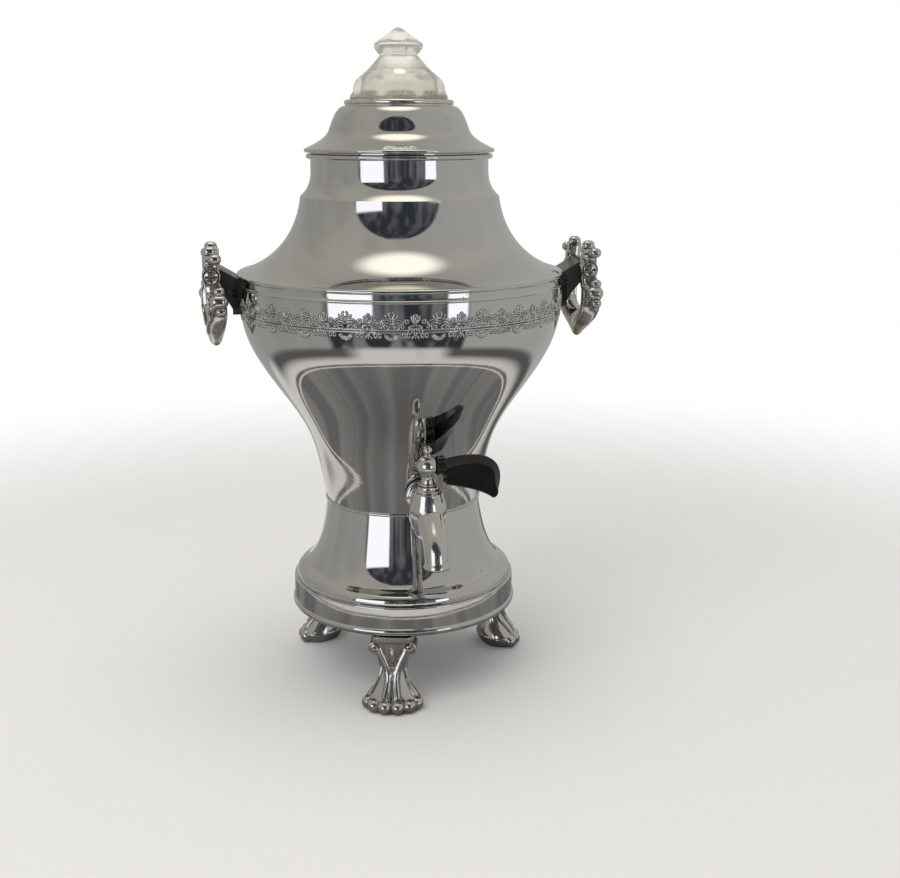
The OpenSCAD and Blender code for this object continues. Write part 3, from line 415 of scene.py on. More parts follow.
def cast_chrome():
    paint = Paint("cast_chrome")
    skin = paint.noise(260, 6, 0.6)
    patches = paint.noise(95, 4, 0.6)
    # Hollows, measured on the mesh as cavity, are painted dark here: dirt and painted shade together.
    hollow_dirt_and_shade = paint.math("MULTIPLY", paint.value("cavity"), paint.span(patches, 0.2, 0.7, 0.55, 1.0))
    worn = paint.math("MULTIPLY", paint.value("wear"), paint.span(patches, 0.38, 0.62))
    pits = paint.math("MULTIPLY", paint.specks(700, 0.22), paint.span(paint.noise(130), 0.55, 0.66))
    darkening = paint.math("MAXIMUM", hollow_dirt_and_shade, paint.math("MULTIPLY", pits, 0.7))
    paint.set(Base_Color=paint.blend(darkening, paint.blend(worn, CAST_BRIGHT, CAST_WORN), CAST_DIRT_AND_SHADE),
              Metallic=paint.span(darkening, 0.35, 0.95, 1.0, 0.15),
              Roughness=paint.math("ADD", paint.span(skin, 0.3, 0.75, 0.07, 0.20),
                                   paint.math("MULTIPLY", darkening, 0.4)),
              Normal=paint.bump(skin, 0.05, paint.bump(patches, 0.16)))
    return paint.material


SPUN_CHROME = spun_chrome()
CAST_CHROME = cast_chrome()
print("two chrome finishes:", SPUN_CHROME.name, CAST_CHROME.name)

# %% [markdown]
# The handles' brackets and the lever are black phenolic resin, pressed hot in a mould. It is glossy
# when new and goes cloudy and faintly brown with heat and soap, with fine scratches, the brackets
# more than the lever, so one recipe takes two sets of numbers. The top is pressed glass: thick,
# slightly warm, with ripples from the mould and a film of coffee. Some roughness inside the shader
# stands for that film.

# %% Phenolic and glass

DUST = (0.085, 0.078, 0.070)
GLASS_CLEAN, GLASS_FILM = (0.90, 0.88, 0.81), (0.84, 0.81, 0.72)


def phenolic(name, ground, brown, smooth, shine):
    paint = Paint(name)
    cloud = paint.noise(120, 5, 0.65)
    swirl = paint.noise(45, 3, 0.7)
    scratch = paint.noise(60, 3, 0.7, paint.stretched(1.0, 14.0, 14.0))
    colour = paint.blend(paint.span(swirl, 0.48, 0.72), ground, brown)
    dust = paint.math("MULTIPLY", paint.span(cloud, 0.60, 0.78), 0.16)
    paint.set(Base_Color=paint.blend(dust, colour, DUST),
              Roughness=paint.math("ADD", paint.span(cloud, 0.35, 0.75, smooth, smooth + 0.13),
                                   paint.span(scratch, 0.6, 0.8, 0.0, 0.10)),
              Specular_IOR_Level=shine,
              Normal=paint.bump(cloud, 0.012, paint.bump(scratch, 0.005)))
    return paint.material


def pressed_glass():
    paint = Paint("pressed_glass")
    ripple = paint.noise(70, 3, 0.5)
    film = paint.span(paint.noise(130, 6, 0.7), 0.52, 0.75)
    paint.set(Base_Color=paint.blend(film, GLASS_CLEAN, GLASS_FILM),
              Roughness=paint.span(film, 0.0, 1.0, 0.20, 0.34), Transmission_Weight=0.82, IOR=1.47,
              Normal=paint.bump(ripple, 0.22))
    return paint.material


PHENOLIC = phenolic("black_phenolic", (0.008, 0.0078, 0.0076), (0.016, 0.0135, 0.0115), 0.09, 0.45)
DULL_PHENOLIC = phenolic("dull_phenolic", (0.034, 0.034, 0.031), (0.046, 0.043, 0.038), 0.20, 0.28)
GLASS = pressed_glass()
print("resin and glass:", PHENOLIC.name, DULL_PHENOLIC.name, GLASS.name)

# %% [markdown]
# The metals inside, the porcelain and the rubber share two recipes, one for turned or drawn metal
# and one for fired or moulded stuff. CAD nodes whose shape is right as it is, which is most of what
# the body hides, only get such a finish in place of their plain colour.

# %% The finishes inside


def plain_metal(name, bright, dull, smooth, coarse, lines):
    """A turned or drawn metal: dull patches, fine lines and specks on a bright ground."""
    paint = Paint(name)
    patches = paint.noise(70, 5, 0.65)
    turning = paint.noise(40, 3, 0.6, paint.stretched(*lines))
    specks = paint.math("MULTIPLY", paint.specks(520, 0.24), paint.span(patches, 0.5, 0.62))
    colour = paint.blend(paint.span(patches, 0.4, 0.72), bright, dull)
    paint.set(Base_Color=paint.blend(specks, colour, tuple(0.35 * c for c in dull)), Metallic=1.0,
              Roughness=paint.math("ADD", paint.span(patches, 0.35, 0.75, smooth, coarse),
                                   paint.math("MULTIPLY", specks, 0.2)),
              Normal=paint.bump(turning, 0.02))
    return paint.material


def plain_solid(name, ground, stained, smooth, coarse, grain, depth):
    """A fired or moulded stuff: stained patches over a ground colour, and a fine grain."""
    paint = Paint(name)
    patches = paint.noise(140, 5, 0.65)
    fine = paint.noise(grain, 4, 0.6)
    paint.set(Base_Color=paint.blend(paint.span(patches, 0.45, 0.75), ground, stained),
              Roughness=paint.span(fine, 0.3, 0.7, smooth, coarse),
              Normal=paint.bump(fine, depth))
    return paint.material


TURNED = (1, 1, 40)    # how far the fine lines are stretched: these run round the axis
DULL_CHROME = plain_metal("dull_chrome", (0.72, 0.71, 0.69), (0.58, 0.56, 0.53), 0.11, 0.24, TURNED)
TARNISH = plain_metal("tarnish", (0.17, 0.165, 0.155), (0.085, 0.075, 0.062), 0.24, 0.42, TURNED)
ALUMINIUM = plain_metal("spun_aluminium", (0.74, 0.735, 0.72), (0.50, 0.47, 0.42), 0.20, 0.42, TURNED)
STEEL = plain_metal("bare_steel", (0.52, 0.51, 0.495), (0.33, 0.30, 0.27), 0.26, 0.48, (1, 1, 30))
HEATER = plain_metal("heater_steel", (0.30, 0.285, 0.28), (0.20, 0.15, 0.12), 0.40, 0.62, (30, 1, 1))
BRASS = plain_metal("brass", (0.78, 0.58, 0.28), (0.45, 0.30, 0.13), 0.18, 0.40, (1, 1, 30))
PORCELAIN = plain_solid("porcelain", (0.78, 0.765, 0.72), (0.62, 0.57, 0.49), 0.10, 0.24, 300, 0.03)
RUBBER = plain_solid("rubber", (0.030, 0.029, 0.028), (0.075, 0.070, 0.064), 0.55, 0.85, 900, 0.06)
INSIDE = (
    (ALUMINIUM, ("pump_bell", "pump_tube", "coffee_basket", "basket_cover")),
    (STEEL, ("base_pan", "tie_rod", "rod_washer", "rod_nut", "element_clamp", "clamp_nut",
             "foot_screws", "bracket_screws", "inlet_pins", "tap_shank_nut")),
    (HEATER, ("heating_element",)),
    (BRASS, ("tap_plug", "pump_valve", "lead_strips")),
    (PORCELAIN, ("inlet_insulator",)),
    (RUBBER, ("tap_washer_outer", "tap_washer_inner")),
    (SPUN_CHROME, ("inlet_guard",)),
)
for finish, names in INSIDE:
    for name in names:
        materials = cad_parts[name].data.materials
        materials.clear()
        materials.append(finish)
print(f"{sum(len(names) for _, names in INSIDE)} CAD nodes dressed in {len(INSIDE)} finishes")

# %% [markdown]
# ## Lines and skins
# A piece starts as lines in millimetres. An outline of (radius, height) is put together from
# straight steps, arcs and Bezier curves, which are given by the headings at their ends, as a
# metal spinner would describe a form. It could be drawn by hand in the viewport, but in code each
# number stays readable and can be changed. The vase is two such curves.

# %% Lines, and the outline of the vase


def heading(degrees):
    return np.array([math.sin(math.radians(degrees)), math.cos(math.radians(degrees))])


def bezier(points, steps=48):
    a, p, q, b = (np.array(point, float) for point in points)
    t = np.linspace(0, 1, steps + 1)[:, None]
    return (1 - t) ** 3 * a + 3 * t * (1 - t) ** 2 * p + 3 * t * t * (1 - t) * q + t**3 * b


def curve(a, a_degrees, a_bow, b, b_degrees, b_bow, steps=48):
    """A Bezier from a to b: headings in degrees from straight up, bows as shares of the chord."""
    a, b = np.array(a, float), np.array(b, float)
    chord = np.linalg.norm(b - a)
    p, q = a + a_bow * chord * heading(a_degrees), b - b_bow * chord * heading(b_degrees)
    return bezier((a, p, q, b), steps)


def arc(centre, radius, start, end, steps=14):
    angles = np.radians(np.linspace(start, end, steps + 1))
    return np.column_stack([centre[0] + radius * np.cos(angles), centre[1] + radius * np.sin(angles)])


def inset(line, depth):
    """The line moved to its left, which is inwards on an outline that is drawn upwards."""
    line = np.asarray(line, float)
    ahead = np.gradient(line, axis=0)
    ahead /= np.linalg.norm(ahead, axis=1)[:, None]
    return line + depth * np.column_stack([-ahead[:, 1], ahead[:, 0]])


WAIST = (46.0, 111.0)
BELLY = (69.5, 174.5)
VASE_TOP = (94.0, 239.0)
vase_line = np.vstack([curve(WAIST, 11.7, 0.467, BELLY, 35.3, 0.47, 60),
                       curve(BELLY, 35.3, 0.5, VASE_TOP, 0, 0.41, 60)[1:]])
print(f"vase outline of {len(vase_line)} points, {VASE_TOP[1] - WAIST[1]:.0f} mm high")

# %% [markdown]
# A shape is a pair of points and faces, and most are skins over rings of points. A spun shape turns
# an outline about the axis, as sheet is spun over a wooden form. The Screw modifier could do that
# too, but rings also make the panelled glass and the bent spout. When a shape becomes an object,
# points are welded at the poles, faces are turned outwards, and an edge is marked sharp where it
# folds more than the crease angle. Each finished piece is settled: it gets its finish, rides on its
# body and may stand for CAD nodes.

# %% Skins and pieces

SIDES = 256
CREASE = 30


def surface(rings, loop=False):
    """A skin over rings of points; open ends are capped."""
    rings = np.asarray(rings, float)
    count, sides = rings.shape[:2]
    j, i = np.meshgrid(np.arange(count if loop else count - 1), np.arange(sides), indexing="ij")
    after, beside = (j + 1) % count, (i + 1) % sides
    faces = np.stack([j * sides + i, j * sides + beside, after * sides + beside, after * sides + i], -1)
    faces = faces.reshape(-1, 4).tolist()
    for ring in () if loop else (0, count - 1):
        if np.ptp(rings[ring], axis=0).max() > 1e-6:
            faces.append(list(range(ring * sides, (ring + 1) * sides)))
    return rings.reshape(-1, 3), faces


def spun(line, sides=SIDES):
    """An outline of (radius, height) turned about Z; it closes on itself unless it ends on the axis."""
    line = np.asarray(line, float)
    angles = np.arange(sides) * 2 * math.pi / sides
    rings = np.empty((len(line), sides, 3))
    rings[..., 0] = line[:, :1] * np.cos(angles)
    rings[..., 1] = line[:, :1] * np.sin(angles)
    rings[..., 2] = line[:, 1:]
    return surface(rings, loop=line[0, 0] > 1e-6 or line[-1, 0] > 1e-6)


def mesh_object(name, shapes, crease=CREASE):
    """One object from shapes in millimetres, welded and with its faces turned outwards."""
    points, faces, start = [], [], 0
    for shape_points, shape_faces in shapes:
        points.append(shape_points)
        faces.extend([index + start for index in face] for face in shape_faces)
        start += len(shape_points)
    mesh = bpy.data.meshes.new(name)
    mesh.from_pydata((np.concatenate(points) * MM).tolist(), [], faces)
    work = bmesh.new()
    work.from_mesh(mesh)
    bmesh.ops.remove_doubles(work, verts=work.verts, dist=1e-7)
    bmesh.ops.recalc_face_normals(work, faces=work.faces)
    for face in work.faces:
        face.smooth = True
    for edge in work.edges:
        edge.smooth = edge.calc_face_angle(0.0) < math.radians(crease)
    work.to_mesh(mesh)
    work.free()
    return placed(name, mesh)


def settle(made, paint, body, slot, *nodes):
    """Gives the piece its finish and its body, and lets it stand for the CAD nodes named."""
    made.data.materials.clear()
    made.data.materials.append(paint)
    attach(made, body)
    if nodes:
        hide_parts(*nodes)
    print(f"{made.name}: {len(made.data.polygons)} faces on {body}")
    return made


print(f"spun pieces have {SIDES} sides, and edges that fold more than {CREASE} degrees stay sharp")

# %% [markdown]
# ## Body
# Vessel, shoulder and pedestal are spun from thin sheet. Solidify could thicken a single skin, but
# here each outline runs up the outside and comes back down the inside, one wall thickness away,
# which gives exact edges, and the mouth of the urn shows real sheet when the lid is lifted.

# %% Vessel

WALL = 1.0
SEAM_R = 94.4
RIM_R = SEAM_R - WALL - 0.1

vessel_line = np.vstack([
    [(0, 107), (26, 107), (26, 111)], vase_line, [(RIM_R, 239), (RIM_R, 243.5)],
    [(RIM_R - WALL, 243.5), (RIM_R - WALL, 238.6)], inset(vase_line, WALL)[-3:1:-1],
    [(25, 112), (25, 108), (0, 108)]])
settle(mesh_object("vessel_shell", [spun(vessel_line)]), SPUN_CHROME, "urn", "chrome", "vessel")

# %% [markdown]
# The shoulder is a bell that ends in a ridge and a short neck with a rolled edge. Its lower edge is
# crimped over the vessel, which makes the seam band with its two rolls.

# %% Shoulder

RIDGE = (57.2, 288.8)
NECK_R = 50.9

shoulder_line = np.vstack([
    curve((93.6, 246.3), -73.5, 0.323, RIDGE, -7.6, 0.441, 70),
    curve(RIDGE, -46, 0.36, (NECK_R, 303.8), 0, 0.46, 40)[1:]])
seam_line = np.vstack([
    [(93.5, 239.0)], arc((93.9, 239.9), 0.9, -90, 60, 10), [(94.1, 241.2), (94.1, 243.9)],
    arc((93.5, 245.2), 1.3, -55, 90, 12)])
neck_roll = arc((NECK_R + 0.9, 311.2), 1.5, -127, 180, 26)
shoulder_inside = inset(shoulder_line, WALL)[::-1]
shell_line = np.vstack([
    seam_line, shoulder_line[1:], neck_roll, [(NECK_R - WALL, 310.8)], shoulder_inside[:-4],
    [(SEAM_R - WALL, 244.9), (SEAM_R - WALL, 239.0)]])
settle(mesh_object("shoulder_shell", [spun(shell_line)]), SPUN_CHROME, "urn", "chrome", "shoulder")

# %% [markdown]
# The pedestal flares from a bead under the waist to a bulge, and below that stands on a straight
# ring with a rolled lower edge. It is open below, where the base pan closes it.

# %% Pedestal

RING_R = 67.2

skirt_line = np.vstack([
    arc((RING_R - 1.4, 46.5), 2.5, -90, 55.9, 16), [(RING_R, 48.9), (RING_R, 60.6)],
    arc((RING_R - 0.8, 60.6), 0.8, 0, 90, 6), [(65.2, 61.5), (65.0, 61.9)],
    curve((65.6, 62.8), 0, 0.45, (58.5, 70.5), -41.6, 0.3, 24),
    curve((58.5, 70.5), -41.6, 0.271, (46.0, 109.2), -6.1, 0.368, 50)[1:],
    arc((46.0, 110.1), 0.9, -70, 90, 10)])
skirt_inside = [(32, 111), (32, 110), (44.9, 110)]
skirt_inside += inset(skirt_line[-61:-11], WALL)[::-1].tolist()
skirt_inside += [(RING_R - 1.2, 60.2), (RING_R - 1.2, 49), (64, 45.4), (64.2, 44.2)]
settle(mesh_object("pedestal_skirt", [spun(np.vstack([skirt_line, skirt_inside]))]),
       SPUN_CHROME, "urn", "chrome", "base_skirt")

# %% [markdown]
# ## Lid, collar and glass
# The lid is a spun bell with a rolled rim and a plug ring that drops into the neck. Its bell is one
# pair of curves, used for the outside and, drawn in by the wall, for the inside. The collar is a
# small roll round the glass.

# %% Lid and collar


def bell(rim, steps):
    return np.vstack([curve((rim, 315.6), -65, 0.357, (40.2, 325.145), -23.4, 0.286, steps[0]),
                      curve((40.2, 325.145), -23.4, 0.25, (31.6, 338.6), -78.5, 0.3, steps[1])[1:]])


lid_line = np.vstack([
    [(48.5, 305.5), (49.5, 305.5), (49.5, 313.2), (52.4, 313.2)],
    arc((53.2, 314.4), 1.15, -100, 72, 14), bell(53.3, (50, 40)),
    [(25.8, 338.6), (25.8, 337.6), (30.6, 337.4)], inset(bell(54, (30, 30)), WALL)[-4:10:-1],
    [(48.5, 315.1)]])
settle(mesh_object("lid_bell", [spun(lid_line)]), SPUN_CHROME, "lid", "chrome", "lid")

collar_line = np.vstack([[(29.2, 338.62), (30.9, 338.62)], arc((29.6, 340.5), 1.5, -50, 90, 18),
                         [(29.2, 342.0)]])
settle(mesh_object("lid_ring", [spun(collar_line)]), DULL_CHROME, "lid", "chrome", "lid_collar")

# %% [markdown]
# The glass has eight pressed panels. Cutting them with a boolean would leave hard corners, so each
# ring of points is a round cut back by an octagon, which gives flat facets with soft corners and
# lets the foot stay round. Inside it is a hollow dome, so the outline runs up the inside, out under
# the foot, and up the outside to the finial.

# %% Glass

PANELS = 8
PANEL_TURN = 12.0
PANEL_SHARE = 1.02
PANEL_Z = (343.5, 347.0)
GLASS_R = 27.7
HOLLOW_Z = 343.0

dome_line = curve((11.2, 366), 140.8, 0.735, (GLASS_R, 343), 177, 0.49, 60)[::-1]
finial_line = np.vstack([curve((11.2, 366), 30, 0.3, (14.4, 371.2), 0, 0.3, 16)[1:],
                         arc((13.2, 371.4), 1.2, 0, 50, 8),
                         curve((13.9, 372.4), -60, 0.25, (2.4, 380.1), -58, 0.3, 20)[1:],
                         curve((2.4, 380.1), -58, 0.4, (0, 381), -90, 0.4, 8)[1:]])
glass_line = np.vstack([[(22.5, 333.9), (25.5, 333.9), (25.5, 338.9), (28.7, 338.9), (28.7, 341.0),
                         (28.3, 341.4), (GLASS_R, 341.5)], dome_line, finial_line])
hollow_line = np.vstack([curve((0, 362), 90, 0.45, (24.2, HOLLOW_Z), 180, 0.5, 40), [(22.5, 338.9)]])


def ease(x, low, high):
    u = np.clip((np.asarray(x, float) - low) / (high - low), 0, 1)
    return u * u * (3 - 2 * u)


def glass_ring(radius, height, sides=SIDES):
    """A round cut back by a turned octagon above the foot."""
    angles = np.arange(sides) * 2 * math.pi / sides
    facet = 2 * math.pi / PANELS
    off = (angles - math.radians(PANEL_TURN)) % facet - facet / 2
    flat = radius * PANEL_SHARE * math.cos(facet / 2) / np.cos(off)
    edge = radius + ease(height, *PANEL_Z) * (np.minimum(flat, radius) - radius)
    return np.column_stack([edge * np.cos(angles), edge * np.sin(angles), np.full(sides, height)])


outer_rings = np.stack([glass_ring(*point) for point in glass_line])
inner_rings = np.stack([glass_ring(r, min(z, HOLLOW_Z)) for r, z in hollow_line])
inner_rings[..., 2] = hollow_line[:, 1:]
glass_shape = surface(np.concatenate([inner_rings, outer_rings]))
settle(mesh_object("glass_dome", [glass_shape], crease=24), GLASS, "glass", "clear_glass", "glass_top")

# %% [markdown]
# ## Castings
# Tap, feet and handles are cast, so their forms flow into each other. Each is made from overlapping
# closed shapes: rods along a path, balls and spun forms, which are moved and turned into place.

# %% Rods, balls and places


def tube(path, radius, sides=14):
    """A rod along a path, with one radius or one for each point."""
    path = np.asarray(path, float)
    ahead = np.gradient(path, axis=0)
    ahead /= np.linalg.norm(ahead, axis=1)[:, None]
    side = np.cross(ahead[0], (0.31, 0.87, 0.38))
    radius = np.broadcast_to(radius, len(path))
    angles = np.arange(sides) * 2 * math.pi / sides
    rings = []
    for point, forward, r in zip(path, ahead, radius):
        side = side - forward * (side @ forward)
        side /= np.linalg.norm(side)
        other = np.cross(forward, side)
        rings.append(point + r * (np.outer(np.cos(angles), side) + np.outer(np.sin(angles), other)))
    return surface(rings)


def ball(centre, radius, stretch=(1, 1, 1), sides=28):
    """A ball, or an egg where it is stretched."""
    line = arc((0, 0), radius, -90, 90, sides // 2)
    line[[0, -1], 0] = 0
    points, faces = spun(line, sides)
    return points * stretch + np.array(centre, float), faces


def moved(shape, matrix):
    points, faces = shape
    matrix = np.array(matrix)
    return points @ matrix[:3, :3].T + matrix[:3, 3], faces


def turned(degrees, axis="Z", at=(0, 0, 0)):
    return Matrix.Translation(at) @ Matrix.Rotation(math.radians(degrees), 4, axis)


print(f"a ball is made of {len(ball((0, 0, 0), 1)[1])} faces")

# %% [markdown]
# Booleans and bevels could join the shapes, but a bevel fails where many forms meet. A voxel remesh
# fuses them as a mould would, and a smoothing pass rounds the inner corners. The bend of the fused
# surface is measured at each point and stored, because the cast finish paints hollows dark,
# with dirt and painted shade.

# %% Fusing

VOXEL = 0.32
FLOW, FLOW_PASSES = 0.5, 4


def mark_hollows(mesh, passes=3, depth=0.055):
    """Stores cavity, 0 on flat and raised places and 1 in hollows, on the mesh's points."""
    count = len(mesh.vertices)
    place, facing = np.empty(count * 3), np.empty(count * 3)
    mesh.vertices.foreach_get("co", place)
    mesh.vertices.foreach_get("normal", facing)
    place, facing = place.reshape(-1, 3), facing.reshape(-1, 3)
    pairs = np.empty(len(mesh.edges) * 2, int)
    mesh.edges.foreach_get("vertices", pairs)
    a, b = pairs.reshape(-1, 2).T
    step = place[b] - place[a]
    step /= np.linalg.norm(step, axis=1)[:, None] + 1e-12
    bend, links = np.zeros(count), np.zeros(count)
    np.add.at(bend, a, (step * facing[a]).sum(1))
    np.add.at(bend, b, -(step * facing[b]).sum(1))
    np.add.at(links, a, 1)
    np.add.at(links, b, 1)
    bend /= np.maximum(links, 1)
    for _ in range(passes):
        total = bend.copy()
        np.add.at(total, a, bend[b])
        np.add.at(total, b, bend[a])
        bend = total / (links + 1)
    cavity = mesh.attributes.new("cavity", "FLOAT", "POINT")
    cavity.data.foreach_set("value", ease(bend, 0.25 * depth, depth).astype(np.float32))
    return place


def baked(made):
    """The object's mesh as its modifiers leave it, with the modifiers gone."""
    bpy.context.view_layer.update()
    evaluated = made.evaluated_get(bpy.context.evaluated_depsgraph_get())
    mesh = bpy.data.meshes.new_from_object(evaluated)
    made.modifiers.clear()
    old, made.data = made.data, mesh
    bpy.data.meshes.remove(old)
    mesh.name = made.name
    return made


def cast(name, shapes):
    """Overlapping shapes fused to one skin with rounded inner corners."""
    made = mesh_object(name, shapes)
    fuse = made.modifiers.new("fuse", "REMESH")
    fuse.mode, fuse.voxel_size, fuse.use_smooth_shade = "VOXEL", VOXEL * MM, True
    flow = made.modifiers.new("flow", "SMOOTH")
    flow.factor, flow.iterations = FLOW, FLOW_PASSES
    return baked(made)


def copied(made, name, matrix):
    """Another casting from the same mould, turned about the axis."""
    mesh = made.data.copy()
    mesh.transform(matrix)
    return placed(name, mesh)


print(f"castings are fused at {VOXEL} mm")

# %% [markdown]
# ## Tap
# The barrel is an egg that hangs from the cap, and the spout leaves its front and bends down along a
# Bezier to a lip with a real bore. A curve with a bevel could make the spout, but its changing radius
# and the bore need rings of their own. The shank with its flange holds both on the vessel.

# %% Horn

TAP_R = 66.5
BONNET_Z = 130.0
MOUTH_R, MOUTH_Z = 88.0, 92.5
SHANK_Z = 123.5
HORN = ((TAP_R, BONNET_Z), (TAP_R, BONNET_Z - 21), (MOUTH_R, MOUTH_Z + 20), (MOUTH_R, MOUTH_Z))
HORN_STEPS, HORN_START, BORE_STEPS = 90, 18, 24
HORN_SIDES = 96
LIP = ((7.2, -0.25), (6.8, 0), (5.2, 0), (4.7, -0.4))    # radius and drop of each ring
BORE_R = 4.6
HORN_R, ROOT_SWELL, LIP_SWELL = 6.6, 1.0, 0.9

horn_path = bezier(HORN, HORN_STEPS)
horn_ahead = np.gradient(horn_path, axis=0)
horn_ahead[0] = horn_ahead[-1] = (0, -1)
horn_ahead /= np.linalg.norm(horn_ahead, axis=1)[:, None]


def horn_ring(index, radius, drop=0.0):
    """A ring square to the spout's middle line."""
    (out, up), (d_out, d_up) = horn_path[index], horn_ahead[index]
    a = np.arange(HORN_SIDES) * 2 * math.pi / HORN_SIDES
    return np.column_stack([radius * np.cos(a), -out + radius * np.sin(a) * d_up,
                            up - drop + radius * np.sin(a) * d_out])


def horn_radius(t):
    """Thicker at the root and at the lip; t is the share of the way along the spout."""
    return HORN_R + ROOT_SWELL * (1 - ease(t, 0.3, 0.62)) + LIP_SWELL * ease(t, 0.93, 0.985)


horn_rings = [horn_ring(i, horn_radius(i / HORN_STEPS)) for i in range(HORN_START, HORN_STEPS)]
horn_rings += [horn_ring(HORN_STEPS, r, d) for r, d in LIP]
horn_rings += [horn_ring(HORN_STEPS - i, BORE_R) for i in range(3, BORE_STEPS - 2, 3)]
horn_rings += [horn_ring(HORN_STEPS - BORE_STEPS, 0.01)]
barrel_line = np.vstack([
    [(0, BONNET_Z)], curve((8.1, BONNET_Z), 165, 0.3, (10.5, 119.5), 180, 0.4, 20),
    curve((10.5, 119.5), 180, 0.45, (0, 100.2), 262, 0.28, 40)[1:]])
tap_axis = Matrix.Translation((0, -TAP_R, 0))
barrel = moved(spun(barrel_line[::-1], HORN_SIDES), tap_axis)
shank_line = [(0, 36.5), (6, 36.5), (6, 51.5), (9.2, 51.5), (9.8, 52.1), (9.8, 53.4), (9.2, 54.2),
              (7.2, 55.0), (6.8, 56), (6.8, 64), (0, 64)]
shank = moved(spun(shank_line, 72), turned(90, "X", (0, 0, SHANK_Z)))
tap = cast("tap_horn", [surface(horn_rings), barrel, shank])
mark_hollows(tap.data)
settle(tap, CAST_CHROME, "urn", "cast_chrome", "tap_body")

# %% [markdown]
# Cap and knob are turned. The cap closes the barrel and stays with the urn. The knob, with its
# collar, ball and bead, sits on the plug and turns with the lever.

# %% Cap and knob

BALL_Z, BALL_R = 145.0, 6.2
BEAD_Z, BEAD_R = 154.0, 2.6

cap_line = np.vstack([
    [(3.3, BONNET_Z), (7.0, BONNET_Z)], arc((6.6, BONNET_Z + 1.1), 0.6, -30, 90, 8),
    curve((6.0, BONNET_Z + 1.75), -60, 0.3, (5.4, BONNET_Z + 3.2), 0, 0.3, 8),
    [(5.1, BONNET_Z + 3.6), (3.3, BONNET_Z + 3.6)]])
settle(mesh_object("tap_cap", [moved(spun(cap_line, HORN_SIDES), tap_axis)]), CAST_CHROME, "urn",
       "cast_chrome", "tap_bonnet")

knob_line = np.vstack([
    [(0, 137.9), (3.1, 137.9), (3.1, 133.9), (4.5, 133.9)], arc((4.3, 134.55), 0.5, -60, 80, 8),
    curve((4.0, 135.2), -30, 0.3, (3.5, 137.7), 0, 0.3, 10),
    curve((3.5, 137.9), 0, 0.3, (3.9, 139.9), 20, 0.3, 8),
    arc((0, BALL_Z), BALL_R, -48, 70, 40),
    curve((1.9, 151.1), 0, 0.3, (1.7, 151.7), 0, 0.3, 6),
    arc((0, BEAD_Z), BEAD_R, -58, 90, 24)])
knob_line[-1, 0] = 0
settle(mesh_object("tap_ball", [moved(spun(knob_line, HORN_SIDES), tap_axis)]), CAST_CHROME, "tap",
       "cast_chrome", "tap_knob")

# %% [markdown]
# The lever is pressed from black resin with a grooved ferrule at its root. It is a flat wing whose
# back is bevelled like a roof: six copies of its outline, from side to side, are drawn in at the
# back by more towards the sides, and a narrow bevel softens the edges.

# %% Ferrule and lever

FERRULE_X, LEVER_X, LEVER_END = 4.51, 9.91, 41.91
LEVER_HALF, LEVER_EDGE = 4.6, 0.9
ROOF, ROOF_FLAT = 4.0, 0.8

ferrule_line = [(2.7, LEVER_X - 0.1), (2.7, FERRULE_X + 0.5), (3.6, FERRULE_X + 0.05),
                (4.9, FERRULE_X + 0.15), (5.4, FERRULE_X + 0.7), (5.4, 6.3), (4.95, 6.7), (4.95, 7.5),
                (5.4, 7.9), (5.4, LEVER_X - 0.6), (5.0, LEVER_X - 0.1)]
lever_axis = turned(90, "Y", (0, -TAP_R, BALL_Z))
settle(mesh_object("lever_ferrule_ring", [moved(spun(ferrule_line, HORN_SIDES), lever_axis)]), PHENOLIC,
       "tap", "black_plastic", "lever_ferrule")

back = bezier(((LEVER_X, 3.17), (23.91, 6.77), (42.41, 6.57), (LEVER_END, -9.3)), 40)
tip = bezier(((LEVER_END, -9.3), (41.51, -14.5), (40.31, -20.3), (36.91, -20.1)), 18)[1:]
belly = bezier(((36.91, -20.1), (31.91, -15.7), (19.91, -12.23), (LEVER_X, -10.63)), 30)[1:]
outline = np.vstack([back, tip, belly])
BACKS, TIPS = len(back), len(tip)


def lever_layer(across, depth, chamfer):
    """The outline with its back drawn in by depth, fading along the tip to a small chamfer."""
    ahead = np.gradient(outline, axis=0)
    ahead /= np.linalg.norm(ahead, axis=1)[:, None]
    index = np.arange(len(outline))
    share = 1 - ease(index, BACKS - 1, BACKS + 0.6 * TIPS)
    drawn = outline + (chamfer + (depth - chamfer) * share)[:, None] * np.column_stack(
        [ahead[:, 1], -ahead[:, 0]])
    drawn[0] = outline[0] - (0, depth)
    drawn[-1] = outline[-1] + (0, chamfer)
    return np.column_stack([drawn[:, 0], np.full(len(drawn), across - TAP_R), drawn[:, 1] + BALL_Z])


def softened(made, width, segments, angle):
    """The piece with its edges rounded where they fold more than the angle."""
    soften = made.modifiers.new("soften", "BEVEL")
    soften.width, soften.segments, soften.limit_method = width * MM, segments, "ANGLE"
    soften.angle_limit, soften.harden_normals = math.radians(angle), True
    return baked(made)


half_rings = [(LEVER_HALF, ROOF, LEVER_EDGE), (LEVER_HALF - LEVER_EDGE, ROOF - LEVER_EDGE, 0),
              (ROOF_FLAT, 0, 0)]
lever_rings = [lever_layer(-across, depth, edge) for across, depth, edge in half_rings]
lever_rings += [lever_layer(*layer) for layer in half_rings[::-1]]
lever = mesh_object("lever_wing", [surface(lever_rings)], crease=180)
settle(softened(lever, width=0.35, segments=3, angle=22), PHENOLIC, "tap", "black_plastic", "tap_lever")

# %% [markdown]
# ## Feet
# Each foot is a waisted stem that leans outwards and spreads to a paw. Such a form is usually
# sculpted; a function for the stem's radius gives the same foot each time, and every line and ball
# on it can be placed on that skin.

# %% The stem of a foot

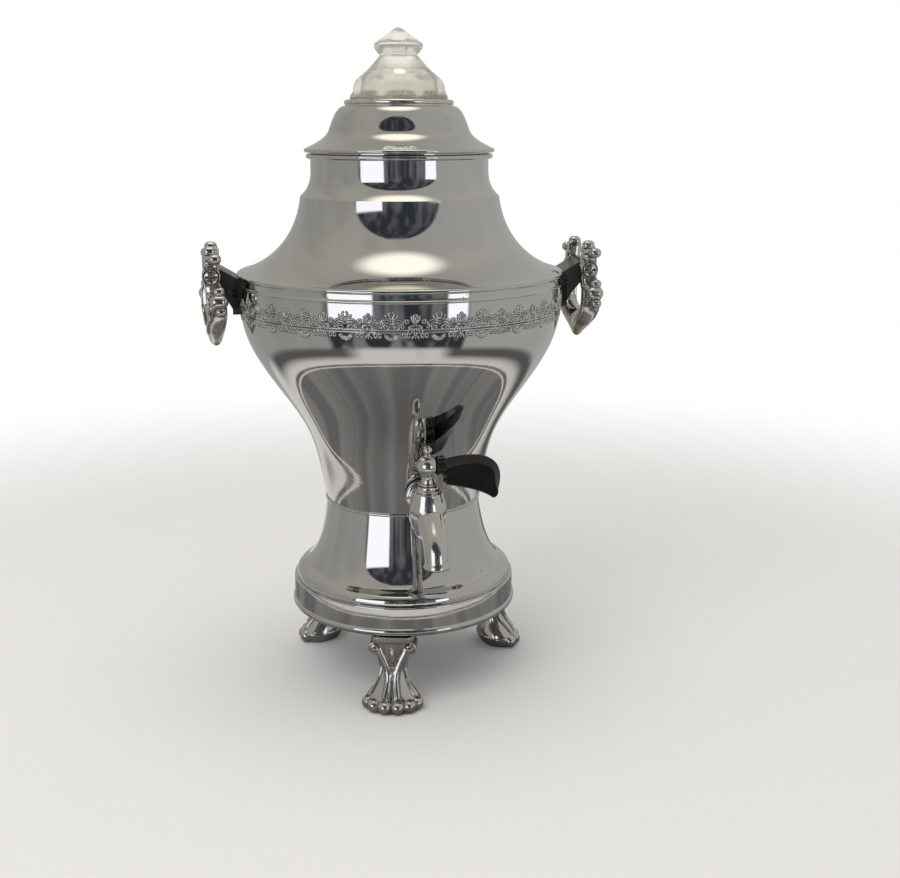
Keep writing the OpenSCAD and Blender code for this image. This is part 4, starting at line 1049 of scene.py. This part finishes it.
FOOT_R = 60.0
FOOT_STEM_H = 41.0
FOOT_SPLAY = 7.0
STEM_LOW, STEM_MID, STEM_TOP = 16.2, 6.4, 11.0
PAW, PAW_TUCK = 0.16, 2.6    # share of the height that the paw takes, and how far it is drawn in
WAIST_U = 0.58               # share of the height below which the stem widens to the paw
GROOVE_DEPTH, GROOVE_WIDTH = 1.2, 24


def foot_stem(u):
    """The stem's radius at a share of its height."""
    if u < PAW:
        return STEM_LOW - PAW_TUCK * ((PAW - u) / PAW) ** 2
    if u < WAIST_U:
        return STEM_MID + (STEM_LOW - STEM_MID) * (1 - ease(u, 0.1, 0.64)) ** 1.7
    return STEM_MID + (STEM_TOP - STEM_MID) * ease(u, 0.5, 1.04) ** 1.3


def foot_point(degrees, u, proud=0.0):
    """A point on the stem's skin, degrees from the outward direction, u from 0 to 1 in height."""
    degrees = np.asarray(degrees, float)
    groove = GROOVE_DEPTH * ease(u, 0.62, 1.0) * np.exp(-((degrees / GROOVE_WIDTH) ** 2))
    radius = foot_stem(float(u)) + proud - groove
    angle = np.radians(degrees)
    thin = 0.88 - 0.16 * (1 - ease(u, 0.1, 0.6))
    return np.stack([FOOT_SPLAY * (1 - u) ** 1.3 + radius * np.cos(angle) * thin,
                     radius * np.sin(angle), np.full(degrees.shape, u * FOOT_STEM_H)], -1)


print(f"foot stem of {STEM_MID} mm at its waist and {STEM_LOW} mm at its paw")

# %% [markdown]
# Two ribs run down the middle, leaves branch from them to a pair of scrolls under the cap, and the
# paw ends in round toes. The three feet come from one mould and are set round the pedestal, the
# front one a little to the left of the tap.

# %% Feet

FOOT_AZIMUTHS = {"front": -108.0, "right": 12.0, "left": 132.0}
# Ribs on each side: angle below, angle above, heights of the turn, start, end, radius
RIBS = ((9, 9, (0.2, 0.5), 0.20, 0.64, 1.4), (15, 56, (0.40, 0.95), 0.22, 0.90, 2.5),
        (62, 88, (0.2, 0.6), 0.22, 0.72, 1.3))
SCROLL_ACROSS, SCROLL_UP, SCROLL_R = 10.2, 36.4, 3.6
BUD_R, BUD_STRETCH = 1.0, (1.6, 1.5, 4.6)    # between the scrolls
TOES, TOE_STEP, TOE_R = 6, 30, 4.2
TOE_U, TOE_SUNK, TOE_STRETCH = 0.10, 1.6, (1, 1, 0.97)
CAP_LINE = [(0, 40.8), (12.6, 40.8), (13.0, 41.2), (13.0, 43.6), (12.7, 44), (0, 44)]
CAP_IN, CAP_OUT = -12.0, 9.2


def foot_rib(near, far, spread, low, high, radius):
    """A line up the stem that turns from one angle to another between two heights."""
    us = np.linspace(low, high, 40)
    path = [foot_point(near + (far - near) * ease(u, *spread), u, 0.3) for u in us]
    return tube(path, radius * np.linspace(0.65, 1.15, 40), 12)


def foot_scroll(side):
    """A rolled scroll and the volute on its face."""
    across = side * SCROLL_ACROSS
    turns, reach = np.linspace(0, 3.2 * math.pi, 60), np.linspace(3.2, 0.7, 60)
    volute = np.column_stack([6.1 + 0.2 * turns / math.pi, across + side * reach * np.sin(turns),
                              SCROLL_UP + reach * np.cos(turns)])
    return [tube([(x, across, SCROLL_UP) for x in (-6, 0, 5.8)], SCROLL_R, 28),
            tube(volute, np.linspace(1.05, 0.8, 60), 10)]


def foot_shapes():
    around = np.linspace(-180, 180, 120, endpoint=False)
    shapes = [surface([foot_point(around, u) for u in np.linspace(0, 1, 60)])]
    cap = spun(CAP_LINE, 96)
    cap[0][:, 0] = np.clip(cap[0][:, 0], CAP_IN, CAP_OUT)
    shapes.append(cap)
    for side in (-1, 1):
        shapes += [foot_rib(side * near, side * far, *rest) for near, far, *rest in RIBS]
        shapes += foot_scroll(side)
    shapes.append(ball(foot_point(0, 0.80, 0.4), BUD_R, BUD_STRETCH))
    for toe in range(TOES):
        at = foot_point(TOE_STEP * (toe - (TOES - 1) / 2), TOE_U, -TOE_SUNK)
        shapes.append(ball(at, TOE_R, TOE_STRETCH))
    return [(np.column_stack([p[:, :2], np.maximum(p[:, 2], 0.02)]), f) for p, f in shapes]


foot = cast("foot_casting", foot_shapes())
mark_hollows(foot.data)
foot.data.attributes.new("wear", "FLOAT", "POINT")
for where, azimuth in FOOT_AZIMUTHS.items():
    at = turned(azimuth) @ Matrix.Translation((FOOT_R * MM, 0, 0))
    settle(copied(foot, f"foot_cast_{where}", at), CAST_CHROME, "urn", "cast_chrome", f"foot_{where}")
bpy.data.objects.remove(foot)

# %% [markdown]
# ## Handles
# A handle is two legs that meet in a point. It is drawn as two lines, the outer and the inner side
# of a leg, from its top down to the point. Rings between them make the leg, and below the pivots
# one leg stands further out than the other.

# %% The legs of a handle

LEG_T, LEG_HALF, LEG_DEPTH = 16.6, 3.4, 4.5
LEG_SPLAY, LEG_TWIST = 1.6, 2.2
LEG_THIN, LEG_DRAW = 0.3, 1.4    # share that a leg thins towards its top, and how far it draws in
HANDLE_UP, HANDLE_DOWN, BEND_UP = 16.6, 42.0, -18.0
TIP_SLOPE, TIP_T = 42.0, 15.0


def leg_side(up, side):
    """Distance across from the handle's middle to a leg's outer (1) or inner (-1) side."""
    half = LEG_HALF * (1 - LEG_THIN * ease(up, 8, HANDLE_UP - 4))
    drawn = LEG_T - LEG_DRAW * ease(up, 8, HANDLE_UP - 3)
    return drawn + LEG_SPLAY * ease(-up, 2, 14) + side * half


def leg_line(side, bow, tip):
    """One side of a leg, from its top down to the point, as (across, up) from the pivot."""
    ups = np.linspace(HANDLE_UP - 4, -15, 34)
    bend = curve((leg_side(BEND_UP, side), BEND_UP), 180, bow, (0, tip), 270 - TIP_SLOPE, 0.25, 44)
    return np.vstack([np.column_stack([leg_side(ups, side), ups]), bend])


def leg_depth(up):
    """Half of a leg's depth: it swells below the pivot and thins to the point."""
    return LEG_DEPTH * (1 + 0.22 * ease(-up, 3, 11)) * (1 - 0.5 * ease(-up, 28, HANDLE_DOWN))


def leg_shift(up):
    """Below the pivots one leg stands further out and the other further in."""
    return LEG_TWIST * ease(-up, 2, 14) * (1 - ease(-up, 20, HANDLE_DOWN - TIP_T / 2))


def squarish(x, power):
    return np.sign(x) * np.abs(x) ** power


outer_line = leg_line(1, 0.5, -HANDLE_DOWN)
inner_line = leg_line(-1, 0.35, TIP_T - HANDLE_DOWN)


def handle_ring(index, side, sides=40):
    """A ring round one leg, between its outer and its inner line."""
    middle = (outer_line[index] + inner_line[index]) / 2
    power = 0.8 + 0.2 * ease(-middle[1], 20, 32)
    a = np.arange(sides) * 2 * math.pi / sides
    across, up = (middle + np.outer(squarish(np.cos(a), power), inner_line[index] - middle)).T
    deep = side * leg_shift(middle[1]) + leg_depth(middle[1]) * squarish(np.sin(a), power)
    return np.column_stack([deep, -side * across, up])


print(f"a leg of {len(outer_line)} rings, {HANDLE_UP + HANDLE_DOWN:.1f} mm long")

# %% [markdown]
# Each leg has a flat boss for its screw, rolls across its outer face and raised lines along its
# edges. Both handles come from one mould. The plating is rubbed through to brown metal at the point,
# which a second value on the mesh says.

# %% Handles

PIVOT = (108.6, 0.0, 246.4)
HANDLE_TURN = -4.5     # degrees by which the pair of handles is turned about the urn's axis
HANDLE_SIDES = {"right": 0, "left": 180}
LEANS = {"right": 1.5, "left": 1.0}
LEG_FACE = LEG_T + LEG_HALF
# Rolls and beads on the leg that stands out: outwards, across, up, radius, half length
ROLLS = ((0.0, LEG_T - 1.6, 13.6, 3.0, 0.8), (2.6, LEG_FACE + 0.9, 9.8, 2.8, 0.8),
         (-2.2, LEG_FACE - 0.2, 6.6, 1.4, 0.2), (3.8, LEG_FACE + 1.3, -8.2, 2.7, 0.7),
         (-1.4, LEG_FACE + 0.8, -10.4, 1.6, 0.2), (3.4, LEG_FACE + 0.9, -13.8, 4.2, 1.2),
         (-0.6, LEG_FACE + 1.4, -17.4, 1.6, 0.2), (4.4, LEG_FACE + 1.7, -19.4, 2.7, 0.7))
BOSS_LINE = [(0, 13.2), (4.9, 13.2), (5.2, 13.6), (5.2, 20.2), (4.9, 20.8), (4.6, 20.8),
             (4.15, 19.9), (0, 19.9)]
EDGE_SHARES, EDGE_R = (0.22, 0.78), 0.75
RUBBED_DOWN, RUBBED_IN = (24, 35), (-2.0, 3.0)    # where wear begins and is full, from the pivot


def roll(x, across, up, radius, half):
    """A bar with round ends across the outer face of one leg."""
    reach = np.linspace(-half - radius, half + radius, 40)
    past = np.maximum(np.abs(reach) - half, 0)
    path = np.column_stack([x + reach, np.full(40, across), np.full(40, up)])
    return tube(path, np.sqrt(np.maximum(radius**2 - past**2, 1e-4)), 28)


def leg_edge(side, face, share):
    """A raised line along a leg, the given share of the way from its outer to its inner side."""
    line = (outer_line + share * (inner_line - outer_line))[6:-4]
    deep = side * leg_shift(line[:, 1]) + face * (0.9 * leg_depth(line[:, 1]) - 0.2)
    return tube(np.column_stack([deep, -side * line[:, 0], line[:, 1]]), EDGE_R, 10)


def handle_shapes():
    last = len(outer_line) - 1
    rings = [handle_ring(i, 1) for i in range(last + 1)]
    rings += [handle_ring(i, -1) for i in range(last - 1, -1, -1)]
    shapes = [surface(rings)]
    for side in (-1, 1):
        shapes.append(moved(spun(BOSS_LINE, 72), turned(-90 * side, "X")))
        for x, across, up, radius, half in ROLLS:
            shapes.append(roll(side * x, -side * across, up, radius, half))
        shapes += [leg_edge(side, face, share) for face in (-1, 1) for share in EDGE_SHARES]
    return shapes


handle = cast("handle_casting", handle_shapes())
place = mark_hollows(handle.data) / MM
rubbed = ease(-place[:, 2], *RUBBED_DOWN) * ease(-place[:, 0], *RUBBED_IN)
wear = handle.data.attributes.new("wear", "FLOAT", "POINT")
wear.data.foreach_set("value", rubbed.astype(np.float32))
for where, half_turn in HANDLE_SIDES.items():
    at = (turned(HANDLE_TURN + half_turn) @ Matrix.Translation(Vector(PIVOT) * MM)
          @ turned(LEANS[where], "Y"))
    settle(copied(handle, f"handle_cast_{where}", at), CAST_CHROME, f"handle_{where}", "cast_chrome",
           f"handle_{where}")
bpy.data.objects.remove(handle)

# %% [markdown]
# ## Brackets
# Each bracket is one moulding: a plate that follows the curve of the urn, and an arm that fills the
# space between the handle's legs. Both are outlines carried across in slices. Shrinkwrap could press
# them on the vessel, but its outline is known, so each point is moved straight to its skin, and the
# bracket sits there without a gap.

# %% Slices of a bracket

BRACKET_HALF = 12.0
ARM_R = 5.4
BASE_X, BASE_TOP, BASE_LOW, BASE_CORNER = 97.6, 243.5, 223.5, 3.5
BEHIND = 88.0
ARM_SEAT = 244.5       # where the arm's top meets the seam

pivot_at = np.array((PIVOT[0], PIVOT[2]))
arm_end = [pivot_at + ARM_R * heading(degrees) for degrees in range(-30, 181, 10)]
gusset = curve(arm_end[-1], 225, 0.35, (BASE_X, BASE_LOW + BASE_CORNER), 205, 0.35, 14)[1:]
arm_outline = np.vstack([[(BEHIND, ARM_SEAT), (SEAM_R + 0.3, ARM_SEAT)], arm_end, gusset,
                         [(BEHIND, BASE_LOW + BASE_CORNER)]])
body_heights = np.concatenate([vase_line[:, 1], seam_line[:, 1] + 0.01 * np.arange(len(seam_line)),
                               shoulder_line[1:, 1]])
body_radii = np.concatenate([vase_line[:, 0], np.full(len(seam_line), SEAM_R), shoulder_line[1:, 0]])


def pressed_on(outline, across):
    """The outline at a place across; what lies inside the body comes out to just under its skin."""
    points = np.column_stack([outline[:, 0], np.full(len(outline), across), outline[:, 1]])
    radius = np.interp(points[:, 2], body_heights, body_radii)
    points[:, 0] = np.maximum(points[:, 0], np.sqrt(radius**2 - across**2) - 0.25)
    return points


def arm_slice(across):
    seat = [(BEHIND, z) for z in np.linspace(BASE_LOW + BASE_CORNER, BASE_TOP, 16)[1:-1]]
    return pressed_on(np.vstack([arm_outline, seat]), across)


def plate_slice(across):
    corner = max(abs(across) - BRACKET_HALF + BASE_CORNER, 0.0)
    low = BASE_LOW + BASE_CORNER - math.sqrt(max(BASE_CORNER**2 - corner**2, 0.0))
    front = [(BASE_X, z) for z in np.linspace(low, BASE_TOP, 14)]
    seat = [(BEHIND, z) for z in np.linspace(BASE_TOP, low, 14)]
    return pressed_on(np.array(front + seat), across)


print(f"bracket slices of {len(arm_slice(0.0))} and {len(plate_slice(0.0))} points")

# %% [markdown]
# The slices of the plate lie closer together at its rounded corners. Plate and arm get their
# bevels apart, because the arm's edges are crisper, and are then one mesh for each side.

# %% Brackets

PLATE_BEVEL, ARM_BEVEL = 1.3, 0.6


def moulded(name, slices, radius):
    return softened(mesh_object(name, [surface(slices)], crease=180), radius, segments=4, angle=32)


inner_half = BRACKET_HALF - BASE_CORNER
corners = inner_half + BASE_CORNER * np.sin(np.linspace(0, math.pi / 2, 9)[1:])
across_plate = np.concatenate([-corners[::-1], np.linspace(-inner_half, inner_half, 9), corners])
across_arm = np.linspace(-BRACKET_HALF, BRACKET_HALF, 13)
bracket = moulded("bracket_moulding", [plate_slice(y) for y in across_plate], PLATE_BEVEL)
arm = moulded("bracket_arm", [arm_slice(y) for y in across_arm], ARM_BEVEL)
joined = bmesh.new()
joined.from_mesh(bracket.data)
joined.from_mesh(arm.data)
joined.to_mesh(bracket.data)
joined.free()
for where, half_turn in HANDLE_SIDES.items():
    settle(copied(bracket, f"bracket_{where}", turned(HANDLE_TURN + half_turn)), DULL_PHENOLIC, "urn",
           "black_plastic", f"handle_bracket_{where}")
bpy.data.objects.remove(arm)
bpy.data.objects.remove(bracket)

# %% [markdown]
# ## What repeats round the axis
# The screws of the handles and the engraved band repeat round the urn, so one Geometry Nodes tree
# serves both: it makes Count points, turns an instance of the piece by an equal share of a full turn
# on each, realizes the instances and gives them their material. Its inputs are named, so that a
# designer can change the number of repeats without touching the tree.

# %% A tree that repeats a piece round the axis


def repeat_tree():
    tree = bpy.data.node_groups.new("repeat_round_axis", "GeometryNodeTree")
    for name, kind, way in (("Geometry", "NodeSocketGeometry", "INPUT"),
                            ("Count", "NodeSocketInt", "INPUT"),
                            ("Material", "NodeSocketMaterial", "INPUT"),
                            ("Geometry", "NodeSocketGeometry", "OUTPUT")):
        tree.interface.new_socket(name, in_out=way, socket_type=kind)
    add = tree.nodes.new
    entry, leave = add("NodeGroupInput"), add("NodeGroupOutput")
    points, index = add("GeometryNodePoints"), add("GeometryNodeInputIndex")
    share, angle = add("ShaderNodeMath"), add("ShaderNodeMath")
    share.operation, angle.operation = "DIVIDE", "MULTIPLY"
    angle.inputs[1].default_value = 2 * math.pi
    spin, euler = add("ShaderNodeCombineXYZ"), add("FunctionNodeEulerToRotation")
    copies, real, finish = (add("GeometryNodeInstanceOnPoints"), add("GeometryNodeRealizeInstances"),
                            add("GeometryNodeSetMaterial"))
    for source, output, target, entrance in (
            (entry, "Count", points, "Count"), (index, 0, share, 0), (entry, "Count", share, 1),
            (share, 0, angle, 0), (angle, 0, spin, "Z"), (spin, 0, euler, 0),
            (points, 0, copies, "Points"), (entry, "Geometry", copies, "Instance"),
            (euler, 0, copies, "Rotation"), (copies, 0, real, 0), (real, 0, finish, "Geometry"),
            (entry, "Material", finish, "Material"), (finish, 0, leave, 0)):
        tree.links.new(source.outputs[output], target.inputs[entrance])
    return tree


def repeated(made, count, material):
    """The piece with its repeats round the axis, as one plain mesh."""
    round_axis = made.modifiers.new("round_axis", "NODES")
    round_axis.node_group = REPEAT
    values = {"Count": count, "Material": material}
    for item in REPEAT.interface.items_tree:
        if item.in_out == "INPUT" and item.name in values:
            round_axis[item.identifier] = values[item.name]
    return baked(made)


REPEAT = repeat_tree()
print(f"tree of {len(REPEAT.nodes)} nodes")

# %% [markdown]
# A screw head is domed, with a cross slot. A boolean would leave thin faces, so the slot is pressed
# into the rings of the dome. Its bottom is rounded, so that the measure of hollows finds it and
# the finish paints it dark, with dirt and painted shade. The two heads of one side are the piece
# that repeats.

# %% Screw heads of the handles

SCREW_R, SCREW_FACE, SCREW_SIDES = 3.85, 20.2, 96
SEAT_RINGS = ((0.01, 0.05), (3.6, 0.05), (SCREW_R, 0.3), (SCREW_R, 1.1))
DOME_FOOT, DOME_RISE = 1.25, 0.85
SLOT_DEPTH, SLOT_REACH, SLOT_WALL = 1.3, 3.2, (0.15, 0.85)
SLOT_CLOSE = 4.0       # how fast a slot closes past its reach


def screw_head():
    """A domed head with a cross slot, facing +Z, seated at height 0."""
    a = np.arange(SCREW_SIDES) * 2 * math.pi / SCREW_SIDES
    rings = [np.column_stack([r * np.cos(a), r * np.sin(a), np.full(SCREW_SIDES, z)])
             for r, z in SEAT_RINGS]
    for r in np.linspace(SCREW_R - 0.2, 0.01, 26):
        x, y = r * np.cos(a), r * np.sin(a)
        dome = DOME_FOOT + DOME_RISE * (1 - (r / SCREW_R) ** 2)
        slot = np.minimum(np.abs(x), np.abs(y)) + SLOT_CLOSE * max(r - SLOT_REACH, 0)
        rings.append(np.column_stack([x, y, dome - SLOT_DEPTH * (1 - ease(slot, *SLOT_WALL))]))
    return surface(rings)


heads = [moved(screw_head(), turned(HANDLE_TURN)
               @ turned(-90 * side, "X", (PIVOT[0], side * SCREW_FACE, PIVOT[2]))) for side in (-1, 1)]
screws = repeated(mesh_object("pivot_screw_heads", heads, crease=40), 2, CAST_CHROME)
mark_hollows(screws.data, passes=1)
settle(screws, CAST_CHROME, "urn", "cast_chrome", "pivot_screws_left", "pivot_screws_right")

# %% [markdown]
# ## Engraved band
# A frieze of scrolls, swags and little palmettes runs round the vessel under its seam. It could be a
# bump in the chrome, but a bump has no outline and is lost when the mesh leaves Blender. So one
# repeat is drawn flat, as pen strokes in millimetres: a cartouche in the middle and a fleuron
# between two.

# %% Drawing of the band

BAND_R = 92.8
BAND_REPEATS = 24
PERIOD = 2 * math.pi * BAND_R / BAND_REPEATS
SPREAD = (1.12, 1)     # the cartouche is drawn a little narrower than it is used


def loop(centre, wide, high, steps=20):
    """A closed oval."""
    a = np.linspace(0, 2 * math.pi, steps + 1)
    return np.column_stack([centre[0] + wide * np.cos(a), centre[1] + high * np.sin(a)])


def curl(centre, start_r, end_r, start, sweep, steps=22):
    """A spiral from one radius to another; its start and sweep are in degrees."""
    a = np.radians(start + sweep * np.linspace(0, 1, steps + 1))
    r = np.linspace(start_r, end_r, steps + 1)
    return np.column_stack([centre[0] + r * np.cos(a), centre[1] + r * np.sin(a)])


def mirrored(lines):
    return lines + [line * (-1, 1) for line in lines]


def cartouche():
    half = [bezier(((0, 8.6), (2.4, 10.6), (5.0, 9.8), (5.4, 7.4)), 16),
            bezier(((0, 7.4), (2.0, 9.2), (4.2, 8.8), (4.4, 7.2)), 14),
            curl((2.1, 6.2), 1.7, 0.4, 80, -420), curl((5.1, 6.4), 1.0, 0.3, 70, 330, 16),
            loop((8.3, 4.3), 0.85, 0.85, 14), loop((6.9, 8.9), 0.8, 0.8, 14),
            bezier(((0, 10.2), (1.6, 11.2), (1.6, 12.6), (0.3, 13.2)), 10),
            bezier(((0, 10.0), (2.6, 10.2), (3.2, 11.2), (2.6, 12.0)), 10)]
    swag = [arc((0, 3.4), radius, 200, 340, 24) for radius in (3.3, 2.3)]
    petals = [loop(at, 0.5, 0.5, 10) for at in arc((0, 3.4), 3.0, -150, -30, 4)]
    buds = [loop((u, 2.3), 0.7, 1.0, 12) for u in (-7.6, -5.6, 5.6, 7.6)]
    reach = np.linspace(-PERIOD / 2, PERIOD / 2, 13)
    bars = [np.column_stack([reach, np.full(13, v)]) for v in (3.7, 4.9)]
    return [line * SPREAD for line in mirrored(half) + swag + petals + buds] + bars


def fleuron():
    half = [bezier(((0, 6.9), (2.8, 7.4), (3.8, 6.0), (2.9, 4.7)), 14),
            curl((2.3, 5.2), 1.0, 0.3, -40, 380, 16),
            bezier(((0, 8.0), (1.9, 8.4), (2.5, 10.2), (1.7, 11.6)), 12),
            bezier(((0, 2.4), (1.4, 2.0), (1.9, 1.2), (1.5, 0.5)), 8)]
    middle = [loop((0, 10.2), 0.95, 2.0, 20), np.array([(0, 9.0), (0, 10.2), (0, 11.4)]),
              loop((0, 4.1), 0.8, 1.6, 18), np.array([(0, 2.2), (0, 1.2), (0, 0.4)])]
    return mirrored(half) + middle


drawing = cartouche() + [line + (PERIOD / 2, 0) for line in fleuron()]
print(f"{len(drawing)} strokes on {PERIOD:.1f} mm of the band")

# %% [markdown]
# Each stroke is laid on the vessel as a thin rounded line. Tarnish stays beside every engraved line,
# so a wider and flatter line in a dark finish lies under each bright one. The tree above then repeats
# both round the axis.

# %% Band on the vessel

BAND_LOW, BAND_STRETCH = 220.3, 1.12
LINE_R, LINE_SIDES, LINE_END = 0.46, 6, 0.35
# Finish, and width and height of a line in line radii
LINES = {"engraved_band": (DULL_CHROME, 1.0, 0.9), "engraved_band_tarnish": (TARNISH, 1.55, 0.3)}


def on_vessel(line):
    """Points and outward normals on the vessel for a flat line."""
    height = BAND_LOW + BAND_STRETCH * line[:, 1]
    radius = np.interp(height, vase_line[:, 1], vase_line[:, 0])
    angle = line[:, 0] / BAND_R - math.pi / 2
    slope = np.interp(height, vase_line[:, 1], np.gradient(vase_line[:, 0], vase_line[:, 1]))
    normal = np.column_stack([np.cos(angle), np.sin(angle), -slope])
    normal /= np.linalg.norm(normal, axis=1)[:, None]
    return np.column_stack([radius * np.cos(angle), radius * np.sin(angle), height]), normal


def stroke(line, wide, tall):
    """A flat line laid on the vessel as a thin rod with pointed ends."""
    point, normal = on_vessel(line)
    ahead = np.gradient(point, axis=0)
    side = np.cross(ahead / np.linalg.norm(ahead, axis=1)[:, None], normal)
    a = np.radians(np.linspace(0, 360, LINE_SIDES, endpoint=False))
    thin = np.ones(len(line))
    thin[0] = thin[-1] = LINE_END
    return surface([p + LINE_R * t * (wide * np.outer(np.cos(a), s) + tall * np.outer(np.sin(a), n))
                    for p, n, s, t in zip(point, normal, side, thin)])


for name, (finish, wide, tall) in LINES.items():
    one = mesh_object(name, [stroke(line, wide, tall) for line in drawing], crease=80)
    settle(repeated(one, BAND_REPEATS, finish), finish, "urn", "chrome")

# %% [markdown] ## Finish

# %% Finish
